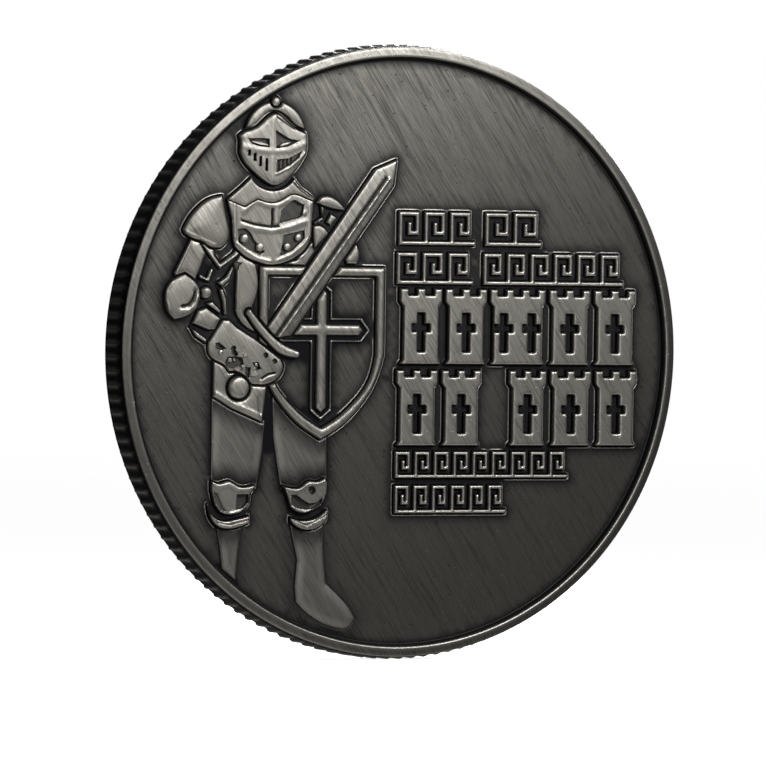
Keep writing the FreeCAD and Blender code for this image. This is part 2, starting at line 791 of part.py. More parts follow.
LEAF_LENGTH = 3.6
LEAF_WIDTH = 1.35
WREATH_RADIUS = 12.4
LEAF_STEP = 13.0
LEAVES_PER_BRANCH = 11
LEAF_LEAN = 0.42
LEAF_OFFSET = 0.45


def leaf_outline(angle, radius, lean):
    """A pointed leaf of two arcs that starts on the stem and leans away from it."""
    direction = angle + lean
    root = Vector(radius * math.cos(angle), radius * math.sin(angle), 0)
    along = Vector(math.cos(direction), math.sin(direction), 0)
    across = Vector(-along.y, along.x, 0)
    tip = root + along * LEAF_LENGTH
    middle = root + along * (LEAF_LENGTH * 0.45)
    sides = (middle + across * (LEAF_WIDTH / 2), middle - across * (LEAF_WIDTH / 2))
    return [Part.Arc(root, sides[0], tip), Part.Arc(tip, sides[1], root)]


def wreath_branch(name, hand):
    """Leaves up one side of the wreath, one inside and one outside the stem at each step."""
    members = []
    start = -90 + hand * 14
    for index in range(LEAVES_PER_BRANCH):
        angle = math.radians(start + hand * LEAF_STEP * index)
        along_stem = hand * math.pi / 2
        for place, out in (("outer", 1), ("inner", -1)):
            lean = along_stem - hand * out * LEAF_LEAN
            outline = leaf_outline(angle, WREATH_RADIUS + out * LEAF_OFFSET, lean)
            members.append(raised(f"{name}_{place}_{index}", outline, "leaf_height", "reverse"))
    group(name, members)


wreath_branch("wreath_left", -1)
wreath_branch("wreath_right", 1)

raised("wreath_stem", (
    ring(0, 0, WREATH_RADIUS + 0.18) + ring(0, 0, WREATH_RADIUS - 0.18)
), "stem_height", "reverse")
node("wreath_stem")

raised("bead_ring", ring(0, 0, 18.2) + ring(0, 0, 17.5), "bead_height", "reverse")
node("bead_ring")

PLAIN_SHIELD = [(5.4, 1.2), (4.9, -1.6), (3.7, -4.0), (2.1, -5.8), (0.0, -7.1)]
raised("reverse_shield", trace(
    (-5.4, 6.2), [(5.4, 6.2)], [PLAIN_SHIELD[0]], PLAIN_SHIELD[1:], mirrored(PLAIN_SHIELD, 0)[1:],
), "plain_shield_height", "reverse")
PLAIN_INNER = [(4.8, 1.2), (4.3, -1.5), (3.2, -3.7), (1.8, -5.3), (0.0, -6.4)]
hollowed("reverse_shield", trace(
    (-4.8, 5.6), [(4.8, 5.6)], [PLAIN_INNER[0]], PLAIN_INNER[1:], mirrored(PLAIN_INNER, 0)[1:],
), "plain_shield_height", "plain_shield_cut", "reverse")
node("reverse_shield")

# ---------------------------------------------------------------- checks and files

doc.recompute()
for item in doc.Objects:
    if "Invalid" in item.State or "Error" in item.State:
        raise RuntimeError(f"{item.Label} failed: {item.State}")
for name, item in NODES.items():
    if item.Shape.isNull() or not item.Shape.isValid():
        raise RuntimeError(f"{name} has no valid shape")
    if not item.Shape.Solids:
        raise RuntimeError(f"{name} holds no solid")

os.makedirs("parts", exist_ok=True)
for name, item in NODES.items():
    item.Shape.exportStep(f"parts/{name}.step")
print(len(NODES), "sub-parts written")
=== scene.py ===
"""Antique challenge coin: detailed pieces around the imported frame, with its finish, light and camera."""

import math

import bpy
import numpy as np
from bpy.props import FloatProperty, FloatVectorProperty, IntProperty, PointerProperty
from mathutils import Matrix, Vector
from mathutils.geometry import delaunay_2d_cdt
from mathutils.kdtree import KDTree


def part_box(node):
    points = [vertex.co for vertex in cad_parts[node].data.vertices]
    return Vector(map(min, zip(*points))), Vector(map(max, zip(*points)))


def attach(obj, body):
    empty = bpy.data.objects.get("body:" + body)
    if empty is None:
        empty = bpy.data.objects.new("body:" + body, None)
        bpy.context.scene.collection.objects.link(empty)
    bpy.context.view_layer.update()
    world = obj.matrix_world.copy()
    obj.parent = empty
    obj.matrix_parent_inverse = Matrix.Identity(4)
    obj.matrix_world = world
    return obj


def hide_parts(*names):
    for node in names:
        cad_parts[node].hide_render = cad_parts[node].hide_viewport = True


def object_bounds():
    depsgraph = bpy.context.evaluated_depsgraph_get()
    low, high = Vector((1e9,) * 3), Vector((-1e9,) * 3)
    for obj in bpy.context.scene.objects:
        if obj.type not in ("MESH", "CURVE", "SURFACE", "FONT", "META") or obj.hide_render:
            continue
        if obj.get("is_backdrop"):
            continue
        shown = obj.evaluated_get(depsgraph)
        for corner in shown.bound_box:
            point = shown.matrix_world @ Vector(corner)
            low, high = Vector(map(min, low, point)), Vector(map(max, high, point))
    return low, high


bl_info = {
    "name": "Antique challenge coin",
    "version": (1, 0, 0),
    "blender": (4, 5, 0),
    "location": "3D View > Sidebar > Coin",
    "description": "Builds a struck metal coin with a knight on one side and a wreath on the other",
    "category": "Object",
}

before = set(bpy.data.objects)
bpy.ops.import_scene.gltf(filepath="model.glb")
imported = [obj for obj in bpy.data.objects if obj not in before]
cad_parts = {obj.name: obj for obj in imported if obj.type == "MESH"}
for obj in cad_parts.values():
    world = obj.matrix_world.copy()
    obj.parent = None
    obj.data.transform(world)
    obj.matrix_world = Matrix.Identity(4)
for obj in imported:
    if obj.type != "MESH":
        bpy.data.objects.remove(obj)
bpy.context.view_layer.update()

# Metres in a millimetre. Every size below is in mm, apart from those of the settings and the stage.
MM = 0.001
FULL_TURN = 2 * math.pi

# How far each level stands from the coin's middle plane, and the radii, all from the frame.
FIELD = -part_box("core_disc")[0].y / MM
FIELD_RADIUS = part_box("core_disc")[1].x / MM
EDGE_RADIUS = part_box("reeded_edge")[1].x / MM
REED_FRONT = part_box("reeded_edge")[0].y / MM

SINK = 0.03  # every raised piece starts this far below the open field
OUTLINE_STEP = 0.08  # distance between two points of an outline
OPEN_GROUND = 0.4  # nearer than this to another outline, a piece has no lip beside it
SAME_STRETCH = 0.93  # an offset point that comes nearer than this share belongs to another stretch
TINY = 1e-9


# ---------------------------------------------------------------- outlines

def resample(points, spacing):
    """The same run of points with even steps of about one spacing between its corners."""
    out = []
    for start, end in zip(points[:-1], points[1:]):
        count = max(1, round(math.dist(start, end) / spacing))
        out += [
            (start[0] + (end[0] - start[0]) * k / count, start[1] + (end[1] - start[1]) * k / count)
            for k in range(count)
        ]
    return out + [tuple(points[-1])]


def arc(start, through, end, spacing):
    """Points along the circle through three points."""
    (ax, az), (bx, bz), (cx, cz) = start, through, end
    turn = 2 * (ax * (bz - cz) + bx * (cz - az) + cx * (az - bz))
    sa, sb, sc = ax * ax + az * az, bx * bx + bz * bz, cx * cx + cz * cz
    mx = (sa * (bz - cz) + sb * (cz - az) + sc * (az - bz)) / turn
    mz = (sa * (cx - bx) + sb * (ax - cx) + sc * (bx - ax)) / turn
    radius = math.hypot(ax - mx, az - mz)
    a0, a1, a2 = (math.atan2(z - mz, x - mx) for x, z in (start, through, end))
    sweep = (a2 - a0) % FULL_TURN
    if (a1 - a0) % FULL_TURN > sweep:
        sweep -= FULL_TURN
    count = max(2, round(abs(sweep) * radius / spacing))
    return [
        (mx + radius * math.cos(a0 + sweep * k / count), mz + radius * math.sin(a0 + sweep * k / count))
        for k in range(count + 1)
    ]


def spline(points, spacing):
    """Points along a natural cubic curve through the given points."""
    knots = np.array(points, float)
    reached = np.concatenate([[0], np.cumsum(np.hypot(*np.diff(knots, axis=0).T))])
    gap = np.diff(reached)
    count = len(knots)
    system, right = np.eye(count), np.zeros((count, 2))
    for k in range(1, count - 1):
        system[k, k - 1:k + 2] = gap[k - 1], 2 * (gap[k - 1] + gap[k]), gap[k]
        right[k] = 6 * ((knots[k + 1] - knots[k]) / gap[k] - (knots[k] - knots[k - 1]) / gap[k - 1])
    bend = np.linalg.solve(system, right)
    walked = np.linspace(0, reached[-1], max(3, round(reached[-1] / spacing) + 1))
    k = np.clip(np.searchsorted(reached, walked, side="right") - 1, 0, count - 2)
    ahead, behind = (reached[k + 1] - walked)[:, None], (walked - reached[k])[:, None]
    span = gap[k][:, None]
    curve = (bend[k] * ahead**3 + bend[k + 1] * behind**3) / (6 * span)
    curve += (knots[k] / span - bend[k] * span / 6) * ahead
    curve += (knots[k + 1] / span - bend[k + 1] * span / 6) * behind
    return [tuple(point) for point in curve]


def trace(start, *stretches):
    """Closed outline. One point makes a line, two an arc through the first, more a smooth curve."""
    out = []
    here = start
    closed = stretches if stretches[-1][-1] == start else (*stretches, [start])
    for stretch in closed:
        if len(stretch) == 1:
            run = resample([here, stretch[0]], OUTLINE_STEP)
        elif len(stretch) == 2:
            run = arc(here, stretch[0], stretch[1], OUTLINE_STEP)
        else:
            run = spline([here, *stretch], OUTLINE_STEP)
        out += run[:-1]
        here = stretch[-1]
    return np.array(out)


def polygon(points):
    """Closed outline of straight sides."""
    return np.array(resample([*points, points[0]], OUTLINE_STEP)[:-1])


def ring(x, z, radius, step=OUTLINE_STEP):
    """Outline of one circle."""
    count = max(14, round(FULL_TURN * radius / step))
    angles = np.arange(count) * FULL_TURN / count
    return np.stack([x + radius * np.cos(angles), z + radius * np.sin(angles)], 1)


def mirrored(points, middle):
    """The same points on the other side of a vertical line, in reverse order."""
    return [(2 * middle - x, z) for x, z in reversed(points)]


def area(loop):
    """Area that a loop encloses, negative where it runs clockwise."""
    x, z = loop.T
    return 0.5 * np.sum(x * np.roll(z, -1) - z * np.roll(x, -1))


def to_the_right(along):
    """Unit vectors at a right angle to the given ones, to the right of the walk."""
    along = along / np.maximum(np.linalg.norm(along, axis=1), TINY)[:, None]
    return np.stack([along[:, 1], -along[:, 0]], 1)


def outward(loops):
    """Normals of each loop that point away from the metal: out of an outer loop, into a hole."""
    found = []
    for number, loop in enumerate(loops):
        holders = sum(inside(loop[:1], [other])[0] for k, other in enumerate(loops) if k != number)
        sign = 1 if (area(loop) > 0) == (holders % 2 == 0) else -1
        found.append(to_the_right(np.roll(loop, -1, 0) - np.roll(loop, 1, 0)) * sign)
    return found


def inside(points, loops):
    """True for each point that an odd number of loops hold."""
    held = np.zeros(len(points), bool)
    for loop in loops:
        a, b = loop, np.roll(loop, -1, 0)
        x, z = points[:, :1], points[:, 1:]
        crosses = (a[:, 1] > z) != (b[:, 1] > z)
        rise = np.where(b[:, 1] == a[:, 1], 1e-12, b[:, 1] - a[:, 1])
        where = a[:, 0] + (z - a[:, 1]) * (b[:, 0] - a[:, 0]) / rise
        held ^= (np.sum(crosses & (x < where), 1) % 2).astype(bool)
    return held


def line_distance(points, line):
    """Distance of each point from an open run of straight segments."""
    best = np.full(len(points), np.inf)
    line = np.array(line, float)
    for start, end in zip(line[:-1], line[1:]):
        run = end - start
        share = np.clip((points - start) @ run / max(run @ run, TINY), 0, 1)
        best = np.minimum(best, np.linalg.norm(points - start - share[:, None] * run, axis=1))
    return best


def loop_distance(points, loop):
    """Distance of each point from a closed outline."""
    return line_distance(points, np.vstack([loop, loop[:1]]))


class Nearest:
    """Finds how far points are from the nearest of many outline points."""

    def __init__(self, samples):
        self.tree = KDTree(len(samples))
        for index, (x, z) in enumerate(samples):
            self.tree.insert((x, z, 0), index)
        self.tree.balance()

    def distances(self, points):
        return np.array([self.tree.find((x, z, 0))[2] for x, z in points])


def offset_points(loops, steps, away, nearest, low=0):
    """Points at each step from the loops, their distances, and how open the ground is beside them.

    Points that another stretch is nearer to are left out. Away is 1 outside the metal and -1 inside it.
    Openness runs from 0 to 1, and is -1 beside the low loops, which are the last ones.
    """
    points, distances, ground = [], [], []
    for number, (loop, normal) in enumerate(zip(loops, outward(loops))):
        beside = nearest.distances(loop + normal * (OPEN_GROUND * away))
        clear = (beside > 0.8 * OPEN_GROUND).astype(float)
        for _ in range(2):
            clear = (np.roll(clear, 1) + clear + np.roll(clear, -1)) / 3
        if number >= len(loops) - low:
            clear = np.full(len(loop), -1.0)
        for step in steps:
            moved = loop + normal * (step * away)
            kept = nearest.distances(moved) > SAME_STRETCH * step
            points.append(moved[kept])
            distances.append(np.full(np.sum(kept), step))
            ground.append(clear[kept])
    return np.vstack(points), np.concatenate(distances), np.concatenate(ground)


def spread(loop, gap):
    """The loop pushed outward by a small gap."""
    moved = loop + outward([loop])[0] * gap
    return moved[Nearest(loop).distances(moved) > SAME_STRETCH * gap]


def smoothstep(share):
    """0 up to 0 and 1 from 1 on, with a soft start and end between them."""
    share = np.clip(share, 0, 1)
    return share * share * (3 - 2 * share)


# ---------------------------------------------------------------- details struck into a piece's top

class Ridge:
    """A crest along a line, or a groove where its rise is negative."""

    def __init__(self, line, width, rise):
        self.line, self.width, self.rise = line, width, rise

    def guides(self):
        """Loose points that carry the detail's shape in the mesh."""
        run = np.array(resample(self.line, max(0.06, self.width * 0.5)))
        side = to_the_right(np.gradient(run, axis=0)) * self.width
        return np.vstack([run + side * share for share in (-1, -0.5, 0, 0.5, 1)])

    def change(self, points, _):
        """How much the detail raises the top at each point."""
        return self.rise * (1 - smoothstep(line_distance(points, self.line) / self.width))


class Sunk:
    """A panel lowered by a depth inside an outline, or raised where its depth is negative."""

    def __init__(self, corners, depth, bevel=0.06):
        self.loop = corners if isinstance(corners, np.ndarray) else polygon(corners)
        self.depth, self.bevel = depth, bevel

    def guides(self):
        normal = outward([self.loop])[0]
        return np.vstack([self.loop - normal * self.bevel * share for share in (-0.25, 0, 0.5, 1, 1.5)])

    def change(self, points, _):
        within = inside(points, [self.loop])
        return np.where(within, -self.depth * smoothstep(loop_distance(points, self.loop) / self.bevel), 0)


class Bowl:
    """A round hollow, or a round boss where its depth is negative."""

    def __init__(self, x, z, radius, depth):
        self.centre, self.radius, self.depth = np.array([x, z]), radius, depth

    def guides(self):
        rings = [ring(*self.centre, self.radius * share, 0.1) for share in (0.3, 0.6, 0.8, 0.92, 1.03)]
        return np.vstack(rings)

    def change(self, points, _):
        share = np.linalg.norm(points - self.centre, axis=1) / self.radius
        return -self.depth * np.sqrt(np.clip(1 - share**3, 0, 1))


class Dome:
    """A rise from the piece's edge towards its middle."""

    def __init__(self, rise, reach):
        self.rise, self.reach = rise, reach

    def guides(self):
        return np.zeros((0, 2))

    def change(self, _, distance):
        share = np.clip(distance / self.reach, 0, 1)
        return self.rise * np.sqrt(np.clip(1 - (1 - share)**2, 0, 1))


class Slope:
    """A fall to the right of the line from one point to another."""

    def __init__(self, start, end, reach, drop):
        self.start, self.end, self.reach, self.drop = np.array(start), np.array(end), reach, drop

    def guides(self):
        return np.array(resample([tuple(self.start), tuple(self.end)], 0.12))

    def change(self, points, _):
        side = (points - self.start) @ to_the_right((self.end - self.start)[None])[0]
        return -self.drop * np.clip(side / self.reach, 0, 1)


# ---------------------------------------------------------------- meshes

def shown(name, data):
    """A new object of the scene with its mesh, light or lens."""
    thing = bpy.data.objects.new(name, data)
    bpy.context.scene.collection.objects.link(thing)
    return thing


def point_values(mesh, key, values):
    """Stores one value for each point of the mesh."""
    mesh.attributes.new(key, "FLOAT", "POINT").data.foreach_set("value", np.asarray(values, np.float32))


def mesh_object(name, vertices, faces, attributes, sharp=55):
    """A new object from vertices in mm, shaded smooth except at edges sharper than the angle."""
    mesh = bpy.data.meshes.new(name)
    places = (np.asarray(vertices, float) * MM).tolist()
    mesh.from_pydata(places, [], [list(map(int, face)) for face in faces])
    for key, values in attributes.items():
        point_values(mesh, key, values)
    mesh.shade_smooth()
    mesh.set_sharp_from_angle(angle=math.radians(sharp))
    mesh.update()
    return shown(name, mesh)


def triangulated(loops, loose):
    """Delaunay triangles over the loops and the loose points, with each loop's edges kept.

    The last values give the place of each point in the loops and the loose points, or -1.
    """
    points = np.vstack([*loops, loose])
    edges, base = [], 0
    for loop in loops:
        count = len(loop)
        edges += [(base + k, base + (k + 1) % count) for k in range(count)]
        base += count
    made = delaunay_2d_cdt([Vector(point) for point in points], edges, [], 0, 1e-4, True)
    flat = np.array([tuple(place) for place in made[0]])
    source = np.array([found[0] if found else -1 for found in made[3]])
    return flat, np.array([tuple(face) for face in made[2]]), source


def turned_alike(flat, faces, sign):
    """The triangles, all anticlockwise where the sign is 1, or all clockwise where it is -1."""
    a, b, c = (flat[faces[:, k]] for k in range(3))
    turn = (b[:, 0] - a[:, 0]) * (c[:, 1] - a[:, 1]) - (b[:, 1] - a[:, 1]) * (c[:, 0] - a[:, 0])
    return np.where((turn * sign < 0)[:, None], faces[:, ::-1], faces)


def hexagonal_grid(low, high, step):
    """Evenly spaced points over a box."""
    rows = np.arange(low[1], high[1], step * 0.866)
    return np.array([
        (x + (step / 2 if number % 2 else 0), z)
        for number, z in enumerate(rows) for x in np.arange(low[0], high[0], step)
    ]).reshape(-1, 2)


def solid_from_plate(flat, faces, top, bottom, side):
    """Vertices and faces of a closed solid between a top sheet and a flat bottom."""
    used = np.unique(faces)
    number = np.full(len(flat), -1)
    number[used] = np.arange(len(used))
    flat, top = flat[used], top[used]
    count = len(flat)
    faces = turned_alike(flat, number[faces], 1)
    directed = {(face[k], face[(k + 1) % 3]) for face in faces.tolist() for k in range(3)}
    rims = [(i, j) for i, j in directed if (j, i) not in directed]
    sign = -1 if side == "obverse" else 1
    high = np.stack([flat[:, 0], sign * (FIELD + top), flat[:, 1]], 1)
    low = np.stack([flat[:, 0], np.full(count, sign * (FIELD + bottom)), flat[:, 1]], 1)
    vertices = np.vstack([high, low])
    solid = [tuple(face) for face in faces] + [tuple(face[::-1] + count) for face in faces]
    solid += [(j, i, i + count, j + count) for i, j in sorted(rims)]
    if side == "reverse":
        solid = [face[::-1] for face in solid]
    return vertices, solid, used


WALL = 0.05  # width of the steep wall as seen from the front
EDGE = 0.12  # width of the rounded top edge inside the wall
GRID = 0.17  # distance between the points of a piece's top
EDGE_SHARES = (0.0, 0.12, 0.32, 0.62, 1.0)  # where the rounded edge has its rings of points
SHADE_REACH = 1.5  # how far a dull piece is darker beside what lies over it


def plate(loops, cuts, details, steps, grid):
    """Points and triangles of a piece's flat form, and each point's distance from its outlines."""
    nearest = Nearest(np.vstack([*loops, *cuts]))
    near, near_distance, _ = offset_points(loops, steps, -1, nearest)
    parts, distances = [near], [near_distance]
    for cut in cuts:
        near, near_distance, _ = offset_points([cut], steps, 1, nearest)
        parts.append(near)
        distances.append(near_distance)
    for detail in details:
        guides = detail.guides()
        parts.append(guides)
        distances.append(np.full(len(guides), -1.0))
    lattice = hexagonal_grid(np.vstack(loops).min(0), np.vstack(loops).max(0), grid)
    lattice = lattice[inside(lattice, loops)]
    lattice_distance = nearest.distances(lattice)
    kept = lattice_distance > steps[-1] + grid * 0.4
    loose = np.vstack([*parts, lattice[kept]])
    loose_distance = np.concatenate([*distances, lattice_distance[kept]])
    allowed = inside(loose, loops)
    for cut in cuts:
        allowed &= ~inside(loose, [cut])
    fences = [*loops, *cuts]
    flat, faces, source = triangulated(fences, loose[allowed])
    middle = flat[faces].mean(1)
    kept = inside(middle, loops)
    for cut in cuts:
        kept &= ~inside(middle, [cut])
    known = np.concatenate([np.zeros(sum(len(loop) for loop in fences)), loose_distance[allowed]])
    distance = np.where(source >= 0, known[source], 0.0)
    unknown = distance < 0
    distance[unknown] = nearest.distances(flat[unknown])
    return flat, faces[kept], distance


def struck(
        name, loops, height, details=(), cuts=(), edge=EDGE, wall=WALL, grid=GRID, side="obverse", dullness_and_shade=0.0):
    """Closed solid on the field with a steep wall, a rounded top edge and the given details.

    A dull piece keeps some patina all over, and more darkening beside what lies over the piece, which is
    painted shade.
    """
    steps = [wall + edge * share for share in EDGE_SHARES]
    flat, faces, distance = plate(loops, cuts, details, steps, grid)
    none = np.zeros(len(flat))
    change = sum((detail.change(flat, distance) for detail in details), none)
    crest = max(0.0, change[np.unique(faces)].max())

    # The highest detail is as high as the piece, and the top falls over a rounded edge to a steep wall.
    top = np.maximum(height - crest + change, 0.02)
    drop = np.minimum(edge * 1.1, 0.62 * top)
    share = np.clip((distance - wall) / edge, 0, 1)
    level = top - drop * (1 - np.sqrt(1 - (1 - share)**2))
    foot = 0.25 * (top - drop)
    level = np.where(distance < wall, foot + (top - drop - foot) * distance / wall, level)

    # Patina lies at the foot of the wall and in what is lowered.
    lowered = 0.72 * np.clip((crest - change) / 0.16 - 0.35, 0, 1) * (change < -0.02)
    patina = np.clip(np.maximum(1 - distance / (wall * 1.35), lowered), 0, 1)
    if dullness_and_shade:
        # Painted shade: darker beside what lies over the piece, fading out over SHADE_REACH.
        beside = 1.0 - smoothstep(Nearest(np.vstack(cuts)).distances(flat) / SHADE_REACH)
        patina = np.maximum(patina, dullness_and_shade * (0.45 + 0.75 * beside * (distance > wall)))
    # The rounded edge and the raised details are polished.
    crests = [detail for detail in details if not isinstance(detail, (Dome, Slope))]
    raised = sum((np.clip(detail.change(flat, distance), 0, None) for detail in crests), none)
    polish = np.clip(1 - np.abs(distance - wall - 0.4 * edge) / (0.55 * edge), 0, 1)
    polish = np.clip(np.maximum(polish, raised / 0.11) * (1 - patina), 0, 1)

    vertices, solid, used = solid_from_plate(flat, faces, level, -SINK, side)
    under = np.ones(len(used))
    return mesh_object(name, vertices, solid, {
        "patina": np.concatenate([patina[used], under]),
        "polish": np.concatenate([polish[used], under * 0]),
    })


def swept(section, angles):
    """Vertices and faces of a closed section of (radius, level) corners, turned about the coin's axis."""
    section = np.array(section)
    count, columns = len(section), len(angles)
    radius, level = np.tile(section[:, 0], columns), np.tile(section[:, 1], columns)
    angle = np.repeat(angles, count)
    vertices = np.stack([radius * np.cos(angle), level, radius * np.sin(angle)], 1)
    faces = []
    for column in range(columns):
        here, there = column * count, (column + 1) % columns * count
        for k in range(count):
            after = (k + 1) % count
            faces.append((here + k, here + after, there + after, there + k))
    if area(section[:, :2]) < 0:
        faces = [face[::-1] for face in faces]
    return vertices, faces


def turned(name, section, columns=480):
    """Closed ring from (radius, level, patina and shade, polish and highlight) corners."""
    vertices, faces = swept(section, np.arange(columns) * FULL_TURN / columns)
    _, _, patina, polish = np.array(section).T
    return mesh_object(name, vertices, faces, {
        "patina": np.tile(patina, columns), "polish": np.tile(polish, columns)}, sharp=35)


def disc_faces(columns, rings):
    """Faces of a disc from its middle point and rings of points round it, the smallest ring first."""
    after = [(k + 1) % columns for k in range(columns)]
    faces = [(0, 1 + k, 1 + after[k]) for k in range(columns)]
    for inner in range(1, 1 + (rings - 1) * columns, columns):
        outer = inner + columns
        faces += [(inner + k, outer + k, outer + after[k], inner + after[k]) for k in range(columns)]
    return faces


# ---------------------------------------------------------------- node graphs

class Signal:
    """A node's output in an expression. Each operation on it adds one Math node."""

    def __init__(self, graph, socket):
        self.graph, self.socket = graph, socket

    def math(self, operation, *others):
        values = dict(enumerate((self, *others)))
        return self.graph.add("ShaderNodeMath", {"operation": operation}, values)

    def __add__(self, other):
        return self.math("ADD", other)

    __radd__ = __add__

    def __sub__(self, other):
        return self.math("SUBTRACT", other)

    def __rsub__(self, other):
        return self.graph.number(other).math("SUBTRACT", self)

    def __mul__(self, other):
        return self.math("MULTIPLY", other)

    __rmul__ = __mul__

    def __truediv__(self, other):
        return self.math("DIVIDE", other)

    def clamped(self):
        return self.graph.add("ShaderNodeClamp", {}, {"Value": self})

    def between(self, low, high):
        """0 at low and 1 at high, with a soft start and end."""
        return self.graph.add(
            "ShaderNodeMapRange", {"interpolation_type": "SMOOTHSTEP"}, {0: self, 1: low, 2: high})


class Graph:
    """Adds nodes to a tree and links them."""

    def __init__(self, tree):
        self.tree = tree

    def add(self, kind, settings=None, values=None, output=0):
        node = self.tree.nodes.new(kind)
        for key, value in (settings or {}).items():
            setattr(node, key, value)
        for key, value in (values or {}).items():
            if isinstance(value, Signal):
                self.tree.links.new(value.socket, node.inputs[key])
            else:
                node.inputs[key].default_value = value
        return Signal(self, node.outputs[output]) if node.outputs else node

    def other(self, signal, output):
        """Another output of the node that a signal comes from."""
        return Signal(self, signal.socket.node.outputs[output])

    def number(self, value):
        """A signal that holds a plain number."""
        return self.add("ShaderNodeMath", {"operation": "ADD"}, {0: value, 1: 0.0})

    def dot(self, vector, direction):
        values = {0: vector, 1: direction}
        return self.add("ShaderNodeVectorMath", {"operation": "DOT_PRODUCT"}, values, "Value")

    def mix(self, share, first, second):
        """A colour between two, by a share from 0 to 1."""
        return self.add("ShaderNodeMix", {"data_type": "RGBA"}, {0: share, 6: first, 7: second}, 2)

    def noise(self, place, scale, detail=2.0, roughness=0.5):
        """Noise over three signals, each with its own scale."""
        stretched = {axis: signal * size for axis, signal, size in zip("XYZ", place, scale)}
        place = self.add("ShaderNodeCombineXYZ", {}, stretched)
        return self.add("ShaderNodeTexNoise", {}, {
            "Vector": place, "Scale": 1.0, "Detail": detail, "Roughness": roughness})

    def point_value(self, name):
        """A value that each point of the geometry carries."""
        return self.add("GeometryNodeInputNamedAttribute", {"data_type": "FLOAT"}, {"Name": name})

    def with_value(self, geometry, name, value):
        """The geometry with a value stored at each point."""
        kind = {"data_type": "FLOAT", "domain": "POINT"}
        values = {"Geometry": geometry, "Name": name, "Value": value}
        return self.add("GeometryNodeStoreNamedAttribute", kind, values)

    def end(self, geometry, material):
        """Ends a geometry tree with the copies made real and the finish set."""
        whole = self.add("GeometryNodeRealizeInstances", {}, {"Geometry": geometry})
        dressed = self.add("GeometryNodeSetMaterial", {}, {"Geometry": whole, "Material": material})
        self.add("NodeGroupOutput", {}, {"Geometry": dressed})


def emptied(owner):
    """The node graph of a material or the surroundings, with nothing in it yet."""
    owner.use_nodes = True
    owner.node_tree.nodes.clear()
    return Graph(owner.node_tree)


# ---------------------------------------------------------------- finishes

# Waves to the mm of each pattern. Brush marks take them across the brushing, through the coin and along it.
FINE_BRUSHING = (12.0, 3.0, 0.7)
BROAD_BRUSHING = (3.2, 1.0, 0.13)
SCRATCHES = (7.0, 2.0, 0.17)
CLOUDS = (0.16, 0.5, 0.16)
PITS = (5.2, 5.2, 5.2)
BUMP_DEPTH = 0.03


def antique_metal(name, tone, streaks=1.0, shade=0.0, gloss=0.0, pitting=0.25):
    """Dark antique metal: brushed on the slant, black in the recesses, darkened by painted shade, and
    polished on the crests.

    Tone is how bright it is, streaks how strong the brushing is, shade how strong the painted shade to the
    right is.
    """
    finish = bpy.context.scene.coin_finish
    material = bpy.data.materials.new(name)
    graph = emptied(material)
    place = graph.add("ShaderNodeTexCoord", {}, {}, "Object")
    place = graph.add("ShaderNodeVectorMath", {"operation": "SCALE"}, {0: place, "Scale": 1 / MM})
    slant = finish.brushing_angle
    across = graph.dot(place, (math.sin(slant), 0, math.cos(slant)))
    along = graph.dot(place, (math.cos(slant), 0, -math.sin(slant)))
    right, level, up = (graph.dot(place, axis) for axis in ((1, 0, 0), (0, 1, 0), (0, 0, 1)))
    brushed, upright = (across, level, along), (right, level, up)
    fine = graph.noise(brushed, FINE_BRUSHING, 3.0, 0.65)
    broad = graph.noise(brushed, BROAD_BRUSHING)
    scratch = graph.noise(brushed, SCRATCHES, 1.0).between(0.58, 0.7)
    cloud = graph.noise(upright, CLOUDS)
    pits = graph.noise(upright, PITS, 1.0).between(0.7, 0.76)
    patina = graph.add("ShaderNodeAttribute", {"attribute_name": "patina"}, {}, "Fac")
    polish = graph.add("ShaderNodeAttribute", {"attribute_name": "polish"}, {}, "Fac")

    marks = (fine - 0.5) * (1.3 * streaks) + (broad - 0.5) * (1.1 * streaks) - scratch * (0.3 * streaks)
    # The last term is painted shade: darker to the right and towards the bottom, by shade.
    light = (marks + 0.5 + (cloud - 0.5) * 0.5 + (up * 0.5 - right) * shade).clamped()
    dark_steel, pale_steel = (
        (*(part * tone * strength for part in finish.steel_colour), 1.0) for strength in (0.45, 1.25))
    steel = graph.mix(light, dark_steel, pale_steel)
    worn = graph.mix((polish * 0.85).clamped(), steel, (*finish.worn_colour, 1.0))
    stain_and_shade = (patina * 1.05 + (broad - 0.5) * 0.25 * patina + pits * (1 - polish) * pitting).clamped()
    colour = graph.mix(stain_and_shade, worn, (*finish.patina_and_shade_colour, 1.0))
    rough = (0.5 - light) * 0.16 + stain_and_shade * 0.14 - polish * 0.08 + (finish.roughness - gloss)
    bump = graph.add("ShaderNodeBump", {}, {
        "Strength": finish.brushing_depth, "Distance": BUMP_DEPTH * MM,
        "Height": fine * 0.7 + broad * 0.3 - pits * 0.5})
    shader = graph.add("ShaderNodeBsdfPrincipled", {}, {
        "Base Color": colour, "Metallic": 1.0, "Roughness": rough, "Normal": bump})
    graph.add("ShaderNodeOutputMaterial", {}, {"Surface": shader})
    return material


FINISHES = {
    "field_metal": dict(tone=0.4, streaks=1.7, gloss=0.04, pitting=0.6),
    # The rim's shade paints shade into its colour: darker to the right and towards the bottom.
    "rim_metal": dict(tone=0.47, streaks=0.8, gloss=0.06, shade=0.012),
    "edge_metal": dict(tone=0.3, streaks=0.4),
    "sword_metal": dict(tone=1.05, streaks=1.5),
    "shield_metal": dict(tone=0.9, streaks=1.0),
    "ornament_metal": dict(tone=0.9, streaks=1.7),
    "reverse_metal": dict(tone=0.9, streaks=1.2),
    "armour_metal": dict(tone=0.85, streaks=0.9),
}


def finish_for(slot):
    """The finish of a material slot, made when it is first asked for."""
    name = "antique_" + slot
    return bpy.data.materials.get(name) or antique_metal(name, **FINISHES[slot])


